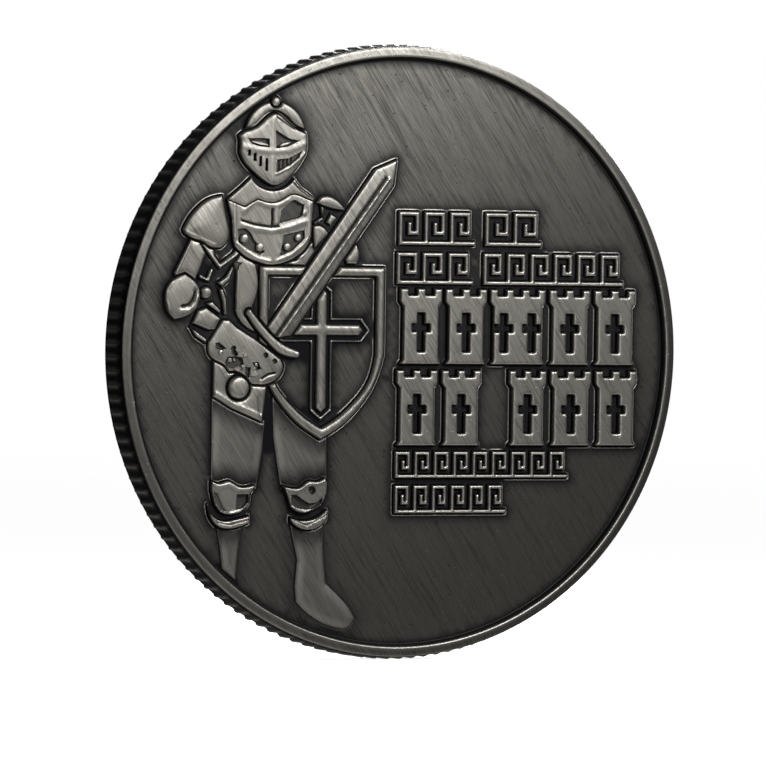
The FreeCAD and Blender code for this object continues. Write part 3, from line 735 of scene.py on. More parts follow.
def settle(piece, slot, node):
    """Gives the piece its finish and puts it in place of its frame node."""
    if not piece.data.materials:
        piece.data.materials.append(finish_for(slot))
    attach(piece, "root")
    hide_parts(node)


def plain_mesh(piece):
    """Turns a piece's node modifier into plain faces and removes the modifier."""
    bpy.context.view_layer.update()
    graph = bpy.context.evaluated_depsgraph_get()
    mesh = bpy.data.meshes.new_from_object(piece.evaluated_get(graph), depsgraph=graph)
    piece.modifiers.clear()
    piece.data = mesh
    mesh.name = piece.name
    mesh.shade_smooth()
    mesh.set_sharp_from_angle(angle=math.radians(40))
    return piece


def node_modifier(piece, tree, values):
    """Adds a geometry node modifier with its named inputs set."""
    modifier = piece.modifiers.new(tree.name, "NODES")
    modifier.node_group = tree
    for item in tree.interface.items_tree:
        if item.item_type == "SOCKET" and item.in_out == "INPUT" and item.name in values:
            modifier[item.identifier] = values[item.name]


def new_tree(name, sockets):
    """Geometry node tree with a geometry input and output and the given named inputs."""
    tree = bpy.data.node_groups.new(name, "GeometryNodeTree")
    tree.interface.new_socket("Geometry", in_out="INPUT", socket_type="NodeSocketGeometry")
    for title, kind in sockets:
        tree.interface.new_socket(title, in_out="INPUT", socket_type=kind)
    tree.interface.new_socket("Geometry", in_out="OUTPUT", socket_type="NodeSocketGeometry")
    graph = Graph(tree)
    source = graph.add("NodeGroupInput")
    titles = ["Geometry"] + [title for title, _ in sockets]
    return tree, graph, {title: graph.other(source, title) for title in titles}


# ---------------------------------------------------------------- what the obverse shows

# Every point is (x, z) from the coin's middle. Left and right are as the knight is seen.
BROW = [(-11.4, 14.15), (-10.6, 14.4), (-10.05, 14.85), (-9.25, 15.33), (-8.3, 14.75), (-7.75, 14.38),
        (-7.05, 14.1)]
SHIELD_MIDDLE = -5.7
SHIELD_HALF = [(-1.25, -0.2), (-1.6, -1.35), (-2.1, -2.45), (-2.9, -3.55), (-4.0, -4.65),
               (SHIELD_MIDDLE, -5.72)]
SHIELD_INNER_HALF = [(-1.87, -0.2), (-2.2, -1.55), (-2.8, -2.6), (-3.55, -3.4), (-4.55, -4.25),
                     (SHIELD_MIDDLE, -4.93)]


def heater(top, half):
    """Outline of a shield with a flat top, straight upper sides and two curves down to a point."""
    mirror = mirrored(half, SHIELD_MIDDLE)
    return trace((mirror[-1][0], top), [(half[0][0], top)], [half[0]], half[1:], mirror[1:])


def pointed_cross(half_width, arm_low, arm_high, reach, bottom, top, point):
    """Cross with pointed ends about the shield's middle line."""
    right, left = [], []
    for side, half in ((1, right), (-1, left)):
        x, arm_end = SHIELD_MIDDLE + side * half_width, SHIELD_MIDDLE + side * reach
        half += [
            (x, top - point), (x, arm_high), (arm_end - side * point, arm_high),
            (arm_end, (arm_low + arm_high) / 2), (arm_end - side * point, arm_low), (x, arm_low),
            (x, bottom + point)]
    return polygon([(SHIELD_MIDDLE, top), *right, (SHIELD_MIDDLE, bottom), *reversed(left)])


OUTLINES = {
    "sword_pommel": [ring(-11.54, -2.35, 0.75)],
    "crossguard": [trace(
        (-10.8, 2.72), [(-9.8, 1.6), (-8.8, 0.7), (-7.95, 0.25), (-7.35, 0.05)],
        [(-7.25, -0.25), (-7.6, -0.45)],
        [(-8.4, -0.3), (-9.4, 0.4), (-10.4, 1.45), (-11.0, 2.25)], [(-11.08, 2.58), (-10.8, 2.72)])],
    "sword_blade": [polygon([
        (-9.75, 1.35), (-2.1, 11.85), (-0.5, 12.5), (-0.7, 10.8), (-7.85, 1.0), (-8.8, 0.85)])],
    "gauntlet": [trace(
        (-12.7, 2.0), [(-12.2, 2.0)], [(-11.7, 1.55)], [(-10.4, 0.8)], [(-9.4, 0.1)], [(-8.6, -0.45)],
        [(-8.35, -0.9), (-8.5, -1.45), (-9.0, -1.95), (-9.7, -2.2)], [(-10.6, -2.15)], [(-10.9, -1.85)],
        [(-11.4, -1.45), (-12.2, -1.35)], [(-12.6, -0.9), (-13.25, -0.6), (-13.7, -0.05), (-13.7, 0.55)],
        [(-13.3, 1.15)])],
    "helm_finial": [ring(-9.2, 16.08, 0.34)],
    "helm_visor": [trace(
        BROW[0], BROW[1:], [(-6.95, 13.3), (-7.05, 12.7)],
        [(-7.45, 12.05), (-7.95, 11.45), (-8.5, 10.95), (-9.25, 10.65), (-10.0, 10.95), (-10.8, 11.55),
         (-11.4, 12.15), (-11.72, 12.75)], [(-11.7, 13.55)], [(-11.8, 13.85)])],
    "helm_skull": [trace((-11.37, 14.0), [(-9.2, 16.1), (-7.1, 14.14)], [(-7.6, 13.6)], [(-10.9, 13.6)])],
    "gorget": [trace(
        (-12.55, 9.75), [(-11.5, 10.6)], [(-10.9, 11.15)], [(-9.3, 10.35), (-7.85, 11.15)], [(-7.3, 10.5)],
        [(-6.45, 9.95)], [(-6.42, 9.7)], [(-7.1, 9.95)],
        [(-7.9, 10.15), (-8.9, 9.7), (-9.6, 9.6), (-10.4, 9.8)], [(-11.3, 9.3)])],
    "breastplate": [trace(
        (-12.55, 9.75), [(-11.3, 9.3)], [(-10.4, 9.8)],
        [(-9.6, 9.6), (-8.9, 9.7), (-7.9, 10.15), (-7.1, 9.95)],
        [(-6.42, 9.7)], [(-6.5, 8.5)], [(-6.55, 7.45)],
        [(-6.9, 6.7), (-7.6, 6.1), (-8.4, 5.72), (-9.4, 5.55), (-10.4, 5.75), (-11.3, 6.15), (-11.95, 6.7)],
        [(-12.1, 7.1)], [(-12.2, 8.5)])],
    "waist_plate": [trace(
        (-11.5, 6.3), [(-10.4, 5.6)], [(-10.25, 4.9)], [(-10.3, 3.6), (-10.6, 2.9)], [(-10.4, 1.2)],
        [(-11.0, 1.5), (-11.85, 2.6)], [(-11.85, 3.8)], [(-11.8, 5.3)], [(-12.0, 5.6)])],
    "fauld": [trace((-9.0, 5.6), [(-7.6, 5.9)], [(-6.6, 7.0)], [(-6.4, 7.3)], [(-5.6, 7.3)], [(-6.9, 5.55)])],
    "pauldron_left": [trace(
        (-12.85, 10.0), [(-13.7, 9.8), (-14.6, 9.2), (-15.2, 8.5), (-15.62, 7.75)], [(-15.5, 7.5)],
        [(-15.0, 7.2), (-14.3, 7.0), (-13.4, 6.58), (-12.9, 6.6)],
        [(-12.5, 6.95), (-12.35, 7.55), (-12.5, 8.4), (-12.85, 10.0)])],
    "arm_lame_left": [polygon([
        (-14.35, 6.95), (-13.6, 5.95), (-12.95, 5.2), (-11.75, 6.05), (-11.5, 6.35), (-11.9, 6.5),
        (-12.1, 6.25), (-12.95, 5.65), (-13.3, 6.15), (-13.4, 6.6)])],
    "upper_arm_left": [polygon([
        (-15.0, 7.3), (-16.2, 5.0), (-15.9, 4.5), (-14.7, 4.5), (-14.45, 5.0), (-13.95, 6.25),
        (-14.4, 7.0)])],
    "arm_buckle": [polygon([
        (-14.5, 5.0), (-13.9, 4.7), (-13.75, 5.15), (-13.5, 5.4), (-13.42, 5.1), (-13.7, 4.4),
        (-14.4, 4.65)])],
    "elbow_cup_left": [trace(
        (-15.4, 4.95), [(-16.2, 4.6), (-16.75, 3.9), (-16.8, 3.3), (-16.6, 2.5), (-16.1, 1.95)],
        [(-15.6, 2.05)], [(-14.9, 2.35), (-14.35, 3.1), (-14.4, 4.1), (-15.4, 4.95)])],
    "elbow_stud": [ring(-13.9, 3.72, 0.42)],
    "forearm_left": [polygon([
        (-14.5, 2.6), (-13.9, 2.8), (-12.85, 2.1), (-13.25, 1.35), (-13.7, 1.3), (-14.9, 1.75)])],
    "forearm_straps": [
        polygon([(-15.05, 1.6), (-13.8, 0.75), (-13.85, 0.45), (-14.6, 0.9)]),
        polygon([(-13.95, 3.05), (-13.45, 3.18), (-12.85, 2.6), (-12.9, 2.35), (-13.8, 2.95)]),
        polygon([(-13.2, 4.35), (-12.6, 4.75), (-12.15, 5.45), (-12.0, 5.4), (-12.2, 4.6), (-12.75, 4.12)]),
        polygon([(-13.05, 4.0), (-12.78, 3.2), (-12.65, 2.3), (-12.42, 2.35), (-12.45, 3.3), (-12.72, 4.0)])],
    "pauldron_right": [trace(
        (-6.25, 9.6), [(-6.0, 9.95), (-5.4, 10.07), (-4.85, 9.88), (-4.2, 9.3)], [(-4.2, 9.1)],
        [(-5.0, 9.2), (-6.0, 9.5)])],
    "arm_plates_right": [
        polygon([
            (-6.35, 9.6), (-6.15, 9.55), (-5.95, 9.4), (-5.85, 8.7), (-6.4, 8.35),
            (-6.32, 8.2), (-5.75, 8.5), (-5.65, 9.35), (-6.1, 9.7), (-6.35, 9.75)]),
        polygon([(-5.2, 8.95), (-4.7, 8.65), (-5.2, 8.15), (-5.55, 8.35)])],
    "upper_arm_right": [trace((-6.45, 8.1), [(-5.85, 8.15), (-5.3, 7.6)], [(-6.3, 6.6)], [(-6.4, 7.2)])],
    "elbow_cup_right": [trace((-3.5, 7.1), [(-3.1, 6.5), (-3.3, 5.66)], [(-4.0, 5.66)], [(-4.2, 6.1)])],
    "shield_frame": [heater(5.5, SHIELD_HALF), heater(4.87, SHIELD_INNER_HALF)],
    "shield_cross": [pointed_cross(0.37, 1.03, 1.77, 2.95, -3.95, 4.1, 0.3)],
    "cross_outline": [
        pointed_cross(0.77, 0.6, 2.2, 3.5, -4.45, 4.6, 0.62),
        pointed_cross(0.6, 0.77, 2.03, 3.25, -4.2, 4.35, 0.52)],
    "tasset": [polygon([(-13.35, -0.4), (-13.35, -2.95), (-12.0, -3.72), (-9.8, -4.62), (-9.5, -2.0),
                        (-11.0, -1.2)])],
    "thigh_left": [polygon([(-13.35, -2.95), (-13.35, -8.6), (-10.15, -8.9), (-9.75, -6.5), (-9.6, -4.5),
                            (-12.0, -3.4)])],
    "thigh_right": [trace((-9.1, -2.4), [(-9.0, -5.5)], [(-8.75, -7.0)], [(-8.4, -8.9)], [(-5.15, -8.5)],
                          [(-5.2, -5.2)])],
    "knee_left": [trace(
        (-13.4, -8.3), [(-12.9, -8.5), (-12.2, -8.35), (-11.4, -8.7), (-10.4, -8.6)], [(-10.25, -8.7)],
        [(-10.6, -9.15)], [(-10.7, -9.85)],
        [(-11.2, -10.35), (-11.9, -10.55), (-12.6, -10.45), (-13.2, -9.75)], [(-13.4, -8.95)])],
    "knee_right": [trace(
        (-8.4, -8.65), [(-7.8, -8.8), (-7.1, -8.75), (-6.5, -8.35), (-6.0, -8.4), (-5.4, -8.15)],
        [(-5.15, -8.45)], [(-5.2, -9.15)],
        [(-5.5, -9.8), (-6.1, -10.25), (-6.7, -10.45), (-7.4, -10.35), (-7.8, -10.05)],
        [(-8.0, -9.45)], [(-8.2, -8.95)])],
    "knee_bands": [
        trace((-13.65, -9.85), [(-13.1, -10.7), (-12.1, -10.9)], [(-10.7, -10.6)], [(-10.7, -11.1)],
              [(-12.0, -11.45), (-12.9, -11.3), (-13.4, -10.8), (-13.65, -9.85)]),
        trace((-7.8, -10.7), [(-6.6, -10.9), (-5.3, -10.25)], [(-5.15, -10.25)], [(-5.2, -10.85)],
              [(-6.7, -11.55), (-7.8, -10.95)])],
    "shin_left": [polygon([(-12.9, -11.3), (-12.65, -12.8), (-12.5, -14.0), (-11.5, -14.8), (-11.35, -13.0),
                           (-11.1, -11.2)])],
    "shin_right": [trace(
        (-7.75, -11.1), [(-7.2, -13.5)], [(-7.35, -15.2)], [(-7.25, -16.2)],
        [(-6.3, -17.05), (-4.6, -17.85), (-3.5, -17.9), (-3.0, -17.3)],
        [(-3.4, -16.65), (-4.0, -16.0), (-5.1, -15.0)], [(-5.3, -13.2)], [(-5.4, -11.0)])],
}

# What lies over each piece and hides part of it.
COVERS = {
    "sword_blade": ["crossguard"],
    "gauntlet": ["crossguard", "sword_pommel", "sword_blade"],
    "helm_skull": ["helm_visor", "helm_finial"],
    "gorget": ["helm_visor"],
    "waist_plate": ["breastplate", "gauntlet", "crossguard", "arm_lame_left"],
    "arm_lame_left": ["pauldron_left", "breastplate"],
    "upper_arm_left": ["pauldron_left", "elbow_cup_left", "arm_lame_left"],
    "arm_buckle": ["upper_arm_left", "elbow_cup_left", "arm_lame_left"],
    "elbow_stud": ["elbow_cup_left"],
    "forearm_left": ["elbow_cup_left", "gauntlet"],
    "forearm_straps": [
        "elbow_cup_left", "gauntlet", "forearm_left", "elbow_stud", "arm_lame_left", "waist_plate"],
    "pauldron_right": ["sword_blade"],
    "arm_plates_right": ["pauldron_right", "breastplate", "sword_blade"],
    "upper_arm_right": ["breastplate", "arm_plates_right", "sword_blade"],
    "fauld": ["breastplate", "upper_arm_right", "sword_blade", "shield_frame"],
    "shield_frame": ["sword_blade", "crossguard", "gauntlet"],
    "elbow_cup_right": ["sword_blade", "shield_frame"],
    "shield_cross": ["sword_blade", "crossguard"],
    "cross_outline": ["sword_blade", "crossguard"],
    "tasset": ["gauntlet", "sword_pommel"],
    "thigh_left": ["tasset", "knee_left"],
    "thigh_right": ["shield_frame", "knee_right"],
    "knee_bands": ["knee_left", "knee_right"],
    "shin_left": ["knee_bands"],
    "shin_right": ["knee_bands"],
}
# The dark gap left beside what lies over a piece.
COVER_GAP = 0.05
WIDE_GAPS = {"helm_visor": 0.16, "sword_pommel": 0.1, "crossguard": 0.08, "breastplate": 0.07}

# The visor's breath slots and bars, each as x, top and foot.
BREATH_SLOTS = [(-11.1, 12.95, 12.55), (-10.7, 12.75, 12.22), (-10.3, 12.55, 11.9), (-9.87, 12.42, 11.6)]
BREATH_BARS = [(-8.9, 12.3, 11.75), (-8.62, 12.35, 11.9), (-8.34, 12.4, 12.05), (-8.06, 12.5, 12.2)]
# The breastplate's rivets, each as x, z and radius.
RIVETS = [(-11.3, 7.25, 0.33), (-10.2, 6.7, 0.32), (-8.28, 6.75, 0.27), (-7.5, 7.35, 0.27)]


def slot(x, top, foot):
    """A breath slot cut through the visor."""
    return Sunk([(x - 0.11, top), (x + 0.11, top), (x + 0.11, foot), (x - 0.11, foot)], 0.28, 0.05)


DETAILS = {
    "helm_finial": [Dome(0.1, 0.3)],
    "sword_pommel": [Dome(0.08, 0.7)],
    "elbow_stud": [Dome(0.08, 0.4)],
    "crossguard": [Dome(0.12, 0.42)],
    "sword_blade": [
        Slope((-8.9, 0.9), (-1.2, 11.25), 0.9, 0.08), Ridge([(-8.98, 1.05), (-1.32, 11.3)], 0.13, -0.17),
        Ridge([(-8.8, 0.95), (-1.12, 11.22)], 0.16, 0.1)],
    "helm_skull": [
        Dome(0.1, 0.6),
        Sunk([(-10.2, 14.95), (-10.0, 15.3), (-9.7, 15.5), (-9.3, 15.57), (-8.8, 15.45), (-8.3, 15.15),
              (-7.95, 14.8), (-7.72, 14.5), (-7.2, 14.28), (-7.3, 13.9), (-9.3, 14.9)], 0.3, 0.07),
        Ridge([(-11.3, 14.25), (-10.65, 14.52), (-10.1, 14.97)], 0.12, -0.16)],
    "helm_visor": [
        Dome(0.08, 0.5),
        Ridge([(-9.45, 15.0), (-9.45, 13.1)], 0.2, 0.03),
        Ridge([(-9.45, 12.5), (-9.45, 10.95)], 0.2, 0.03),
        Ridge([(-11.6, 13.2), (-10.6, 12.97), (-9.45, 12.87), (-8.3, 12.97), (-7.2, 13.4)], 0.3, 0.035),
        Ridge([(-9.2, 15.12), (-8.3, 14.55), (-7.95, 14.35)], 0.07, -0.14),
        Sunk([(-11.25, 13.68), (-10.2, 13.72), (-9.68, 13.68), (-9.68, 13.12), (-10.4, 13.16),
              (-10.9, 13.32)], 0.26),
        Sunk([(-11.05, 13.57), (-10.2, 13.48), (-9.72, 13.32), (-9.74, 13.18), (-10.3, 13.24),
              (-10.8, 13.38)], -0.2, 0.05),
        Sunk([(-9.24, 14.25), (-9.22, 13.05), (-8.4, 13.18), (-7.55, 13.58), (-8.3, 13.72),
              (-8.8, 14.0)], 0.24),
        Sunk([(-9.14, 13.2), (-8.7, 13.45), (-7.85, 13.58), (-8.3, 13.33), (-8.8, 13.17)], -0.18, 0.05),
        *[slot(*place) for place in BREATH_SLOTS],
        Sunk([(-9.18, 12.35), (-8.3, 12.45), (-7.35, 12.95), (-7.6, 12.5), (-8.2, 12.02),
              (-9.18, 11.5)], 0.22),
        *[Ridge([(x, top), (x, foot)], 0.06, 0.1) for x, top, foot in BREATH_BARS],
        Ridge([(-9.2, 11.42), (-8.3, 11.82), (-7.6, 12.36), (-7.2, 12.8)], 0.12, 0.05)],
    "gorget": [
        Ridge([(-7.9, 10.85), (-7.35, 10.35), (-6.6, 9.88)], 0.07, -0.09)],
    "breastplate": [
        Ridge([(-11.35, 9.05), (-10.7, 9.72), (-10.2, 9.62), (-9.6, 9.42), (-9.0, 9.4),
               (-8.3, 9.75)], 0.3, 0.05),
        Ridge([(-9.36, 9.15), (-9.36, 8.15)], 0.1, -0.2),
        Ridge([(-9.05, 9.1), (-9.05, 8.3)], 0.22, 0.04),
        Sunk([(-8.75, 9.1), (-7.95, 9.75), (-7.75, 9.78), (-7.4, 9.6), (-7.1, 9.45), (-7.25, 8.75),
              (-7.5, 8.6), (-8.3, 8.4), (-8.85, 8.25)], 0.22),
        Bowl(-7.12, 8.95, 0.17, -0.05),
        Ridge([(-11.45, 8.4), (-10.6, 8.17), (-9.5, 8.03), (-8.9, 8.08)], 0.1, -0.16),
        Ridge([(-11.4, 8.12), (-10.5, 7.9), (-9.4, 7.78), (-8.2, 8.0), (-7.05, 8.4)], 0.3, 0.06),
        Sunk([(-11.78, 7.85), (-11.2, 7.9), (-10.85, 7.6), (-10.6, 7.15), (-9.85, 6.4), (-10.2, 6.2),
              (-11.0, 6.5), (-11.75, 7.0)], 0.17),
        Sunk([(-8.55, 7.5), (-7.05, 7.85), (-7.05, 7.3), (-7.9, 6.5), (-8.8, 6.15)], 0.18),
        Ridge([(-11.85, 6.95), (-11.2, 6.42), (-10.4, 5.97), (-9.5, 5.8)], 0.17, 0.06),
        Ridge([(-9.0, 5.85), (-8.0, 6.25), (-7.2, 6.85), (-6.85, 7.3)], 0.15, 0.06),
        Ridge([(-12.02, 9.5), (-11.98, 7.2)], 0.18, 0.05), Ridge([(-6.75, 9.5), (-6.75, 7.5)], 0.18, 0.05),
        Ridge([(-9.3, 7.5), (-8.95, 6.3)], 0.5, 0.03)],
    "waist_plate": [
        Dome(0.08, 0.6), Ridge([(-11.72, 5.3), (-11.72, 2.8)], 0.14, 0.05),
        Sunk([(-11.88, 5.75), (-11.35, 5.68), (-11.6, 5.5), (-11.68, 5.2), (-11.85, 5.2)], 0.14, 0.05)],
    "fauld": [Ridge([(-8.6, 5.8), (-7.4, 6.1), (-6.4, 7.1)], 0.2, 0.06)],
    "pauldron_left": [Dome(0.2, 1.5), Ridge([(-15.4, 7.62), (-14.3, 7.15), (-13.4, 6.78)], 0.14, 0.04)],
    "arm_lame_left": [Ridge([(-14.05, 6.6), (-13.0, 5.42), (-11.7, 6.28)], 0.18, 0.06)],
    "upper_arm_left": [Dome(0.06, 0.5), Ridge([(-15.05, 7.1), (-16.02, 5.1)], 0.14, 0.06)],
    "elbow_cup_left": [
        Dome(0.16, 1.1),
        Ridge([(-14.72, 3.8), (-14.85, 3.28), (-15.2, 2.95), (-15.65, 2.87)], 0.13, -0.26),
        Ridge([(-14.55, 3.5), (-14.68, 2.98), (-15.1, 2.6), (-15.75, 2.55)], 0.2, 0.09),
        Ridge([(-16.3, 4.45), (-16.68, 3.9), (-16.72, 3.3), (-16.5, 2.6)], 0.12, 0.05)],
    "forearm_left": [Dome(0.12, 0.5)],
    "pauldron_right": [Dome(0.12, 0.3)],
    "elbow_cup_right": [Dome(0.14, 0.4)],
    "upper_arm_right": [Dome(0.08, 0.35)],
    "gauntlet": [
        Dome(0.1, 1.0),
        Sunk([(-13.22, 0.5), (-12.95, 0.56), (-12.45, 0.18), (-12.75, 0.05), (-13.2, 0.13)], 0.3, 0.04),
        Bowl(-12.85, -0.1, 0.18, -0.09), Bowl(-11.93, 0.2, 0.16, 0.26),
        Sunk([(-12.15, 0.12), (-11.85, 0.16), (-11.6, -0.2), (-11.75, -0.36), (-12.05, -0.2)], 0.28, 0.05),
        Sunk([(-12.55, -0.72), (-12.35, -0.38), (-11.8, -0.33), (-11.3, -0.42), (-11.22, -0.85),
              (-11.6, -1.0), (-12.0, -1.1), (-12.4, -1.05)], 0.3, 0.05),
        Sunk([(-12.33, -0.45), (-12.1, -0.42), (-11.96, -0.62), (-12.12, -0.78), (-12.35, -0.66)],
             -0.27, 0.05),
        Sunk([(-11.97, -0.42), (-11.78, -0.45), (-11.76, -0.66), (-11.92, -0.7)], -0.25, 0.04),
        Sunk([(-11.3, -0.1), (-11.02, -0.16), (-10.98, -0.38), (-11.3, -0.46)], -0.08, 0.05),
        Sunk([(-11.98, -1.0), (-11.6, -0.92), (-11.42, -1.14), (-11.6, -1.34), (-11.9, -1.28)], -0.2, 0.06),
        Sunk([(-11.5, -0.9), (-11.16, -0.86), (-11.1, -1.1), (-11.35, -1.2)], -0.16, 0.05),
        Sunk([(-11.1, -1.0), (-10.72, -1.05), (-10.78, -1.75), (-11.1, -1.5)], 0.22, 0.05),
        Sunk([(-10.62, -0.72), (-10.3, -1.25), (-9.98, -1.12), (-10.2, -0.7)], 0.3, 0.05),
        Sunk([(-10.46, -0.75), (-10.22, -0.75), (-10.18, -0.98), (-10.42, -1.02)], -0.3, 0.04),
        Sunk([(-10.88, -1.35), (-10.4, -1.25), (-10.18, -1.5), (-10.42, -1.68), (-10.82, -1.62)],
             -0.12, 0.05),
        Bowl(-9.66, -0.25, 0.18, 0.28), Bowl(-9.02, -0.64, 0.18, 0.26),
        Ridge([(-9.95, -1.75), (-9.5, -1.47), (-9.0, -1.38)], 0.08, -0.2),
        Ridge([(-9.97, -1.98), (-9.55, -1.72), (-9.0, -1.56)], 0.16, 0.06)],
    "shield_frame": [Dome(0.16, 0.3)],
    "shield_cross": [Dome(0.14, 0.34)],
    "tasset": [
        Dome(0.05, 1.0), Ridge([(-13.15, -2.72), (-12.0, -3.35), (-10.0, -4.15)], 0.2, 0.06),
        Ridge([(-10.15, -3.0), (-10.0, -4.2)], 0.12, -0.06)],
    "thigh_left": [Dome(0.05, 1.4)],
    "thigh_right": [Dome(0.05, 1.4)],
    "knee_left": [
        Sunk([(-11.62, -9.2), (-10.75, -9.2), (-10.8, -9.75), (-11.2, -10.1), (-11.7, -10.22)], 0.28),
        Ridge([(-13.25, -8.45), (-12.8, -8.68), (-12.2, -8.55), (-11.5, -8.88), (-10.5, -8.75)], 0.22, 0.06),
        Ridge([(-12.1, -10.45), (-11.4, -10.28), (-10.85, -9.85)], 0.12, 0.06),
        Sunk([(-13.25, -9.0), (-12.95, -9.1), (-12.5, -10.1), (-12.2, -10.35), (-12.7, -10.35),
              (-13.1, -9.8)], 0.12, 0.1)],
    "knee_right": [
        Bowl(-6.3, -8.95, 0.26, 0.3),
        Sunk([(-7.8, -9.25), (-7.4, -9.22), (-7.0, -9.52), (-6.5, -9.8), (-6.0, -9.75), (-5.52, -9.4),
              (-5.6, -9.8), (-6.1, -10.12), (-6.7, -10.22), (-7.4, -10.12), (-7.75, -9.9)], 0.24),
        Ridge([(-8.1, -8.8), (-7.4, -8.95), (-6.6, -8.6), (-5.4, -8.35)], 0.2, 0.05),
        Ridge([(-7.8, -10.02), (-6.8, -10.36), (-5.6, -9.88)], 0.12, 0.06)],
    "knee_bands": [
        Ridge([(-13.35, -10.6), (-12.9, -11.02), (-12.1, -11.17), (-10.75, -10.85)], 0.05, -0.06),
        Ridge([(-7.75, -10.83), (-6.65, -11.22), (-5.2, -10.52)], 0.05, -0.06)],
    "shin_left": [Dome(0.06, 0.7)],
    "shin_right": [Dome(0.06, 1.0)],
}
# Widths of the rounded edge and of the wall where they aren't the usual ones.
EDGES = {
    "thigh_left": 0.6, "thigh_right": 0.6, "shin_left": 0.5, "shin_right": 0.6, "shield_frame": 0.16,
    "shield_cross": 0.15, "cross_outline": 0.07, "crossguard": 0.16, "sword_pommel": 0.2, "helm_finial": 0.15,
    "elbow_stud": 0.18, "gorget": 0.1, "breastplate": 0.1, "knee_bands": 0.08, "knee_left": 0.1,
    "knee_right": 0.1,
}
WALLS = {
    "gorget": 0.03, "breastplate": 0.035, "fret_row_1": 0.035, "fret_row_2": 0.035, "fret_row_5": 0.03,
    "fret_row_6": 0.03,
}
# Low pieces have a soft edge, a dull top, painted shade beside what lies over them and no lip round them.
LOW_PIECES = ("thigh_left", "thigh_right", "shin_left", "shin_right")
LOW_DULLNESS_AND_SHADE = 0.75

# Rows of frets: low edge, height, the stroke's width and the runs as (left, width, frets).
FRET_ROWS = {
    "fret_row_1": (6.95, 2.2, 0.30, [(-0.35, 5.55, 3), (5.9, 4.15, 2)]),
    "fret_row_2": (4.4, 2.1, 0.30, [(-0.45, 5.55, 3), (5.8, 10.3, 6)]),
    "fret_row_5": (-8.2, 1.75, 0.25, [(-0.4, 12.6, 9)]),
    "fret_row_6": (-10.5, 1.85, 0.26, [(-0.4, 8.1, 6)]),
}
# Rows of towers: low edge and the towers as (left, width, merlons, arrow loops).
TOWER_ROWS = {
    "upper_tower": (-0.8, [
        (-0.2, 3.05, 3, 1), (3.05, 3.05, 3, 1), (6.3, 4.05, 4, 2), (10.6, 3.05, 3, 1), (13.9, 3.1, 3, 1)]),
    "lower_tower": (-6.1, [
        (-0.4, 3.0, 3, 1), (2.85, 2.9, 3, 1), (7.75, 2.75, 3, 1), (10.75, 3.05, 3, 1), (14.05, 3.1, 3, 1)]),
}
TOWER_HIGH, FOOT_HIGH, MERLON_HIGH = 4.95, 0.3, 0.42
FLARE = 0.24  # how far the foot and the head stand out from the wall
HEAD_HIGH, NECK_HIGH = 0.85, 1.15  # from the top down to where the head is widest and to where it starts
LOOP_SILL, LOOP_HIGH = 0.85, 2.5
LOOP_HALF, LOOP_ARM = 0.24, 0.62  # from the loop's middle line to the side of its slit and the end of its bar
LOOP_BAR = 0.62  # how far up the loop its bar is, as a share


def fret_run(left, low, width, high, units, stroke):
    """Outline of a run of frets on one base line: at each, a riser and a hook that turns back."""
    pitch, top = width / units, low + high
    points = [(left, low), (left + width, low), (left + width, low + stroke)]
    for unit in reversed(range(units)):
        start = left + unit * pitch
        hook_right = start + pitch - 1.15 * stroke
        hook_low = low + 2.2 * stroke
        hook_left = start + (pitch - stroke) * 0.42
        hook_top = top - 2.3 * stroke
        points += [
            (start + stroke, low + stroke), (start + stroke, top - stroke),
            (hook_right - stroke, top - stroke), (hook_right - stroke, hook_low + stroke),
            (hook_left + stroke, hook_low + stroke), (hook_left + stroke, hook_top), (hook_left, hook_top),
            (hook_left, hook_low), (hook_right, hook_low), (hook_right, top), (start, top)]
        if unit:
            points.append((start, low + stroke))
    return polygon(points)


def arrow_loop(x, sill):
    """A cross-shaped arrow loop above its sill."""
    bar, head = sill + LOOP_BAR * LOOP_HIGH, sill + LOOP_HIGH
    half = [
        (x + LOOP_HALF, sill), (x + LOOP_HALF, bar - LOOP_HALF), (x + LOOP_ARM, bar - LOOP_HALF),
        (x + LOOP_ARM, bar + LOOP_HALF), (x + LOOP_HALF, bar + LOOP_HALF), (x + LOOP_HALF, head)]
    left = mirrored(half, x)
    return polygon([left[-1], *half, *left[:-1]])


def tower(left, low, width, merlons, loops):
    """A tower with a flared foot and a crenellated head, and its arrow loops."""
    right, top = left + width, low + TOWER_HIGH
    tooth = width / (2 * merlons - 1)
    points = [
        (left, low), (right, low), (right - FLARE, low + FOOT_HIGH), (right - FLARE, top - NECK_HIGH),
        (right, top - HEAD_HIGH)]
    for index in range(merlons):
        start = right - 2 * index * tooth
        points += [(start, top), (start - tooth, top)]
        if index < merlons - 1:
            points += [(start - tooth, top - MERLON_HIGH), (start - 2 * tooth, top - MERLON_HIGH)]
    points += [(left, top - HEAD_HIGH), (left + FLARE, top - NECK_HIGH), (left + FLARE, low + FOOT_HIGH)]
    middles = [left + width * (index + 0.5) / loops for index in range(loops)]
    return [polygon(points), *[arrow_loop(x, low + LOOP_SILL) for x in middles]]


OUTLINES.update({
    row: [fret_run(left, low, width, high, frets, stroke) for left, width, frets in runs]
    for row, (low, high, stroke, runs) in FRET_ROWS.items()})
OUTLINES.update({
    f"{row}_{number}": tower(left, low, width, merlons, loops)
    for row, (low, towers) in TOWER_ROWS.items()
    for number, (left, width, merlons, loops) in enumerate(towers, start=1)})

# ---------------------------------------------------------------- what the reverse shows

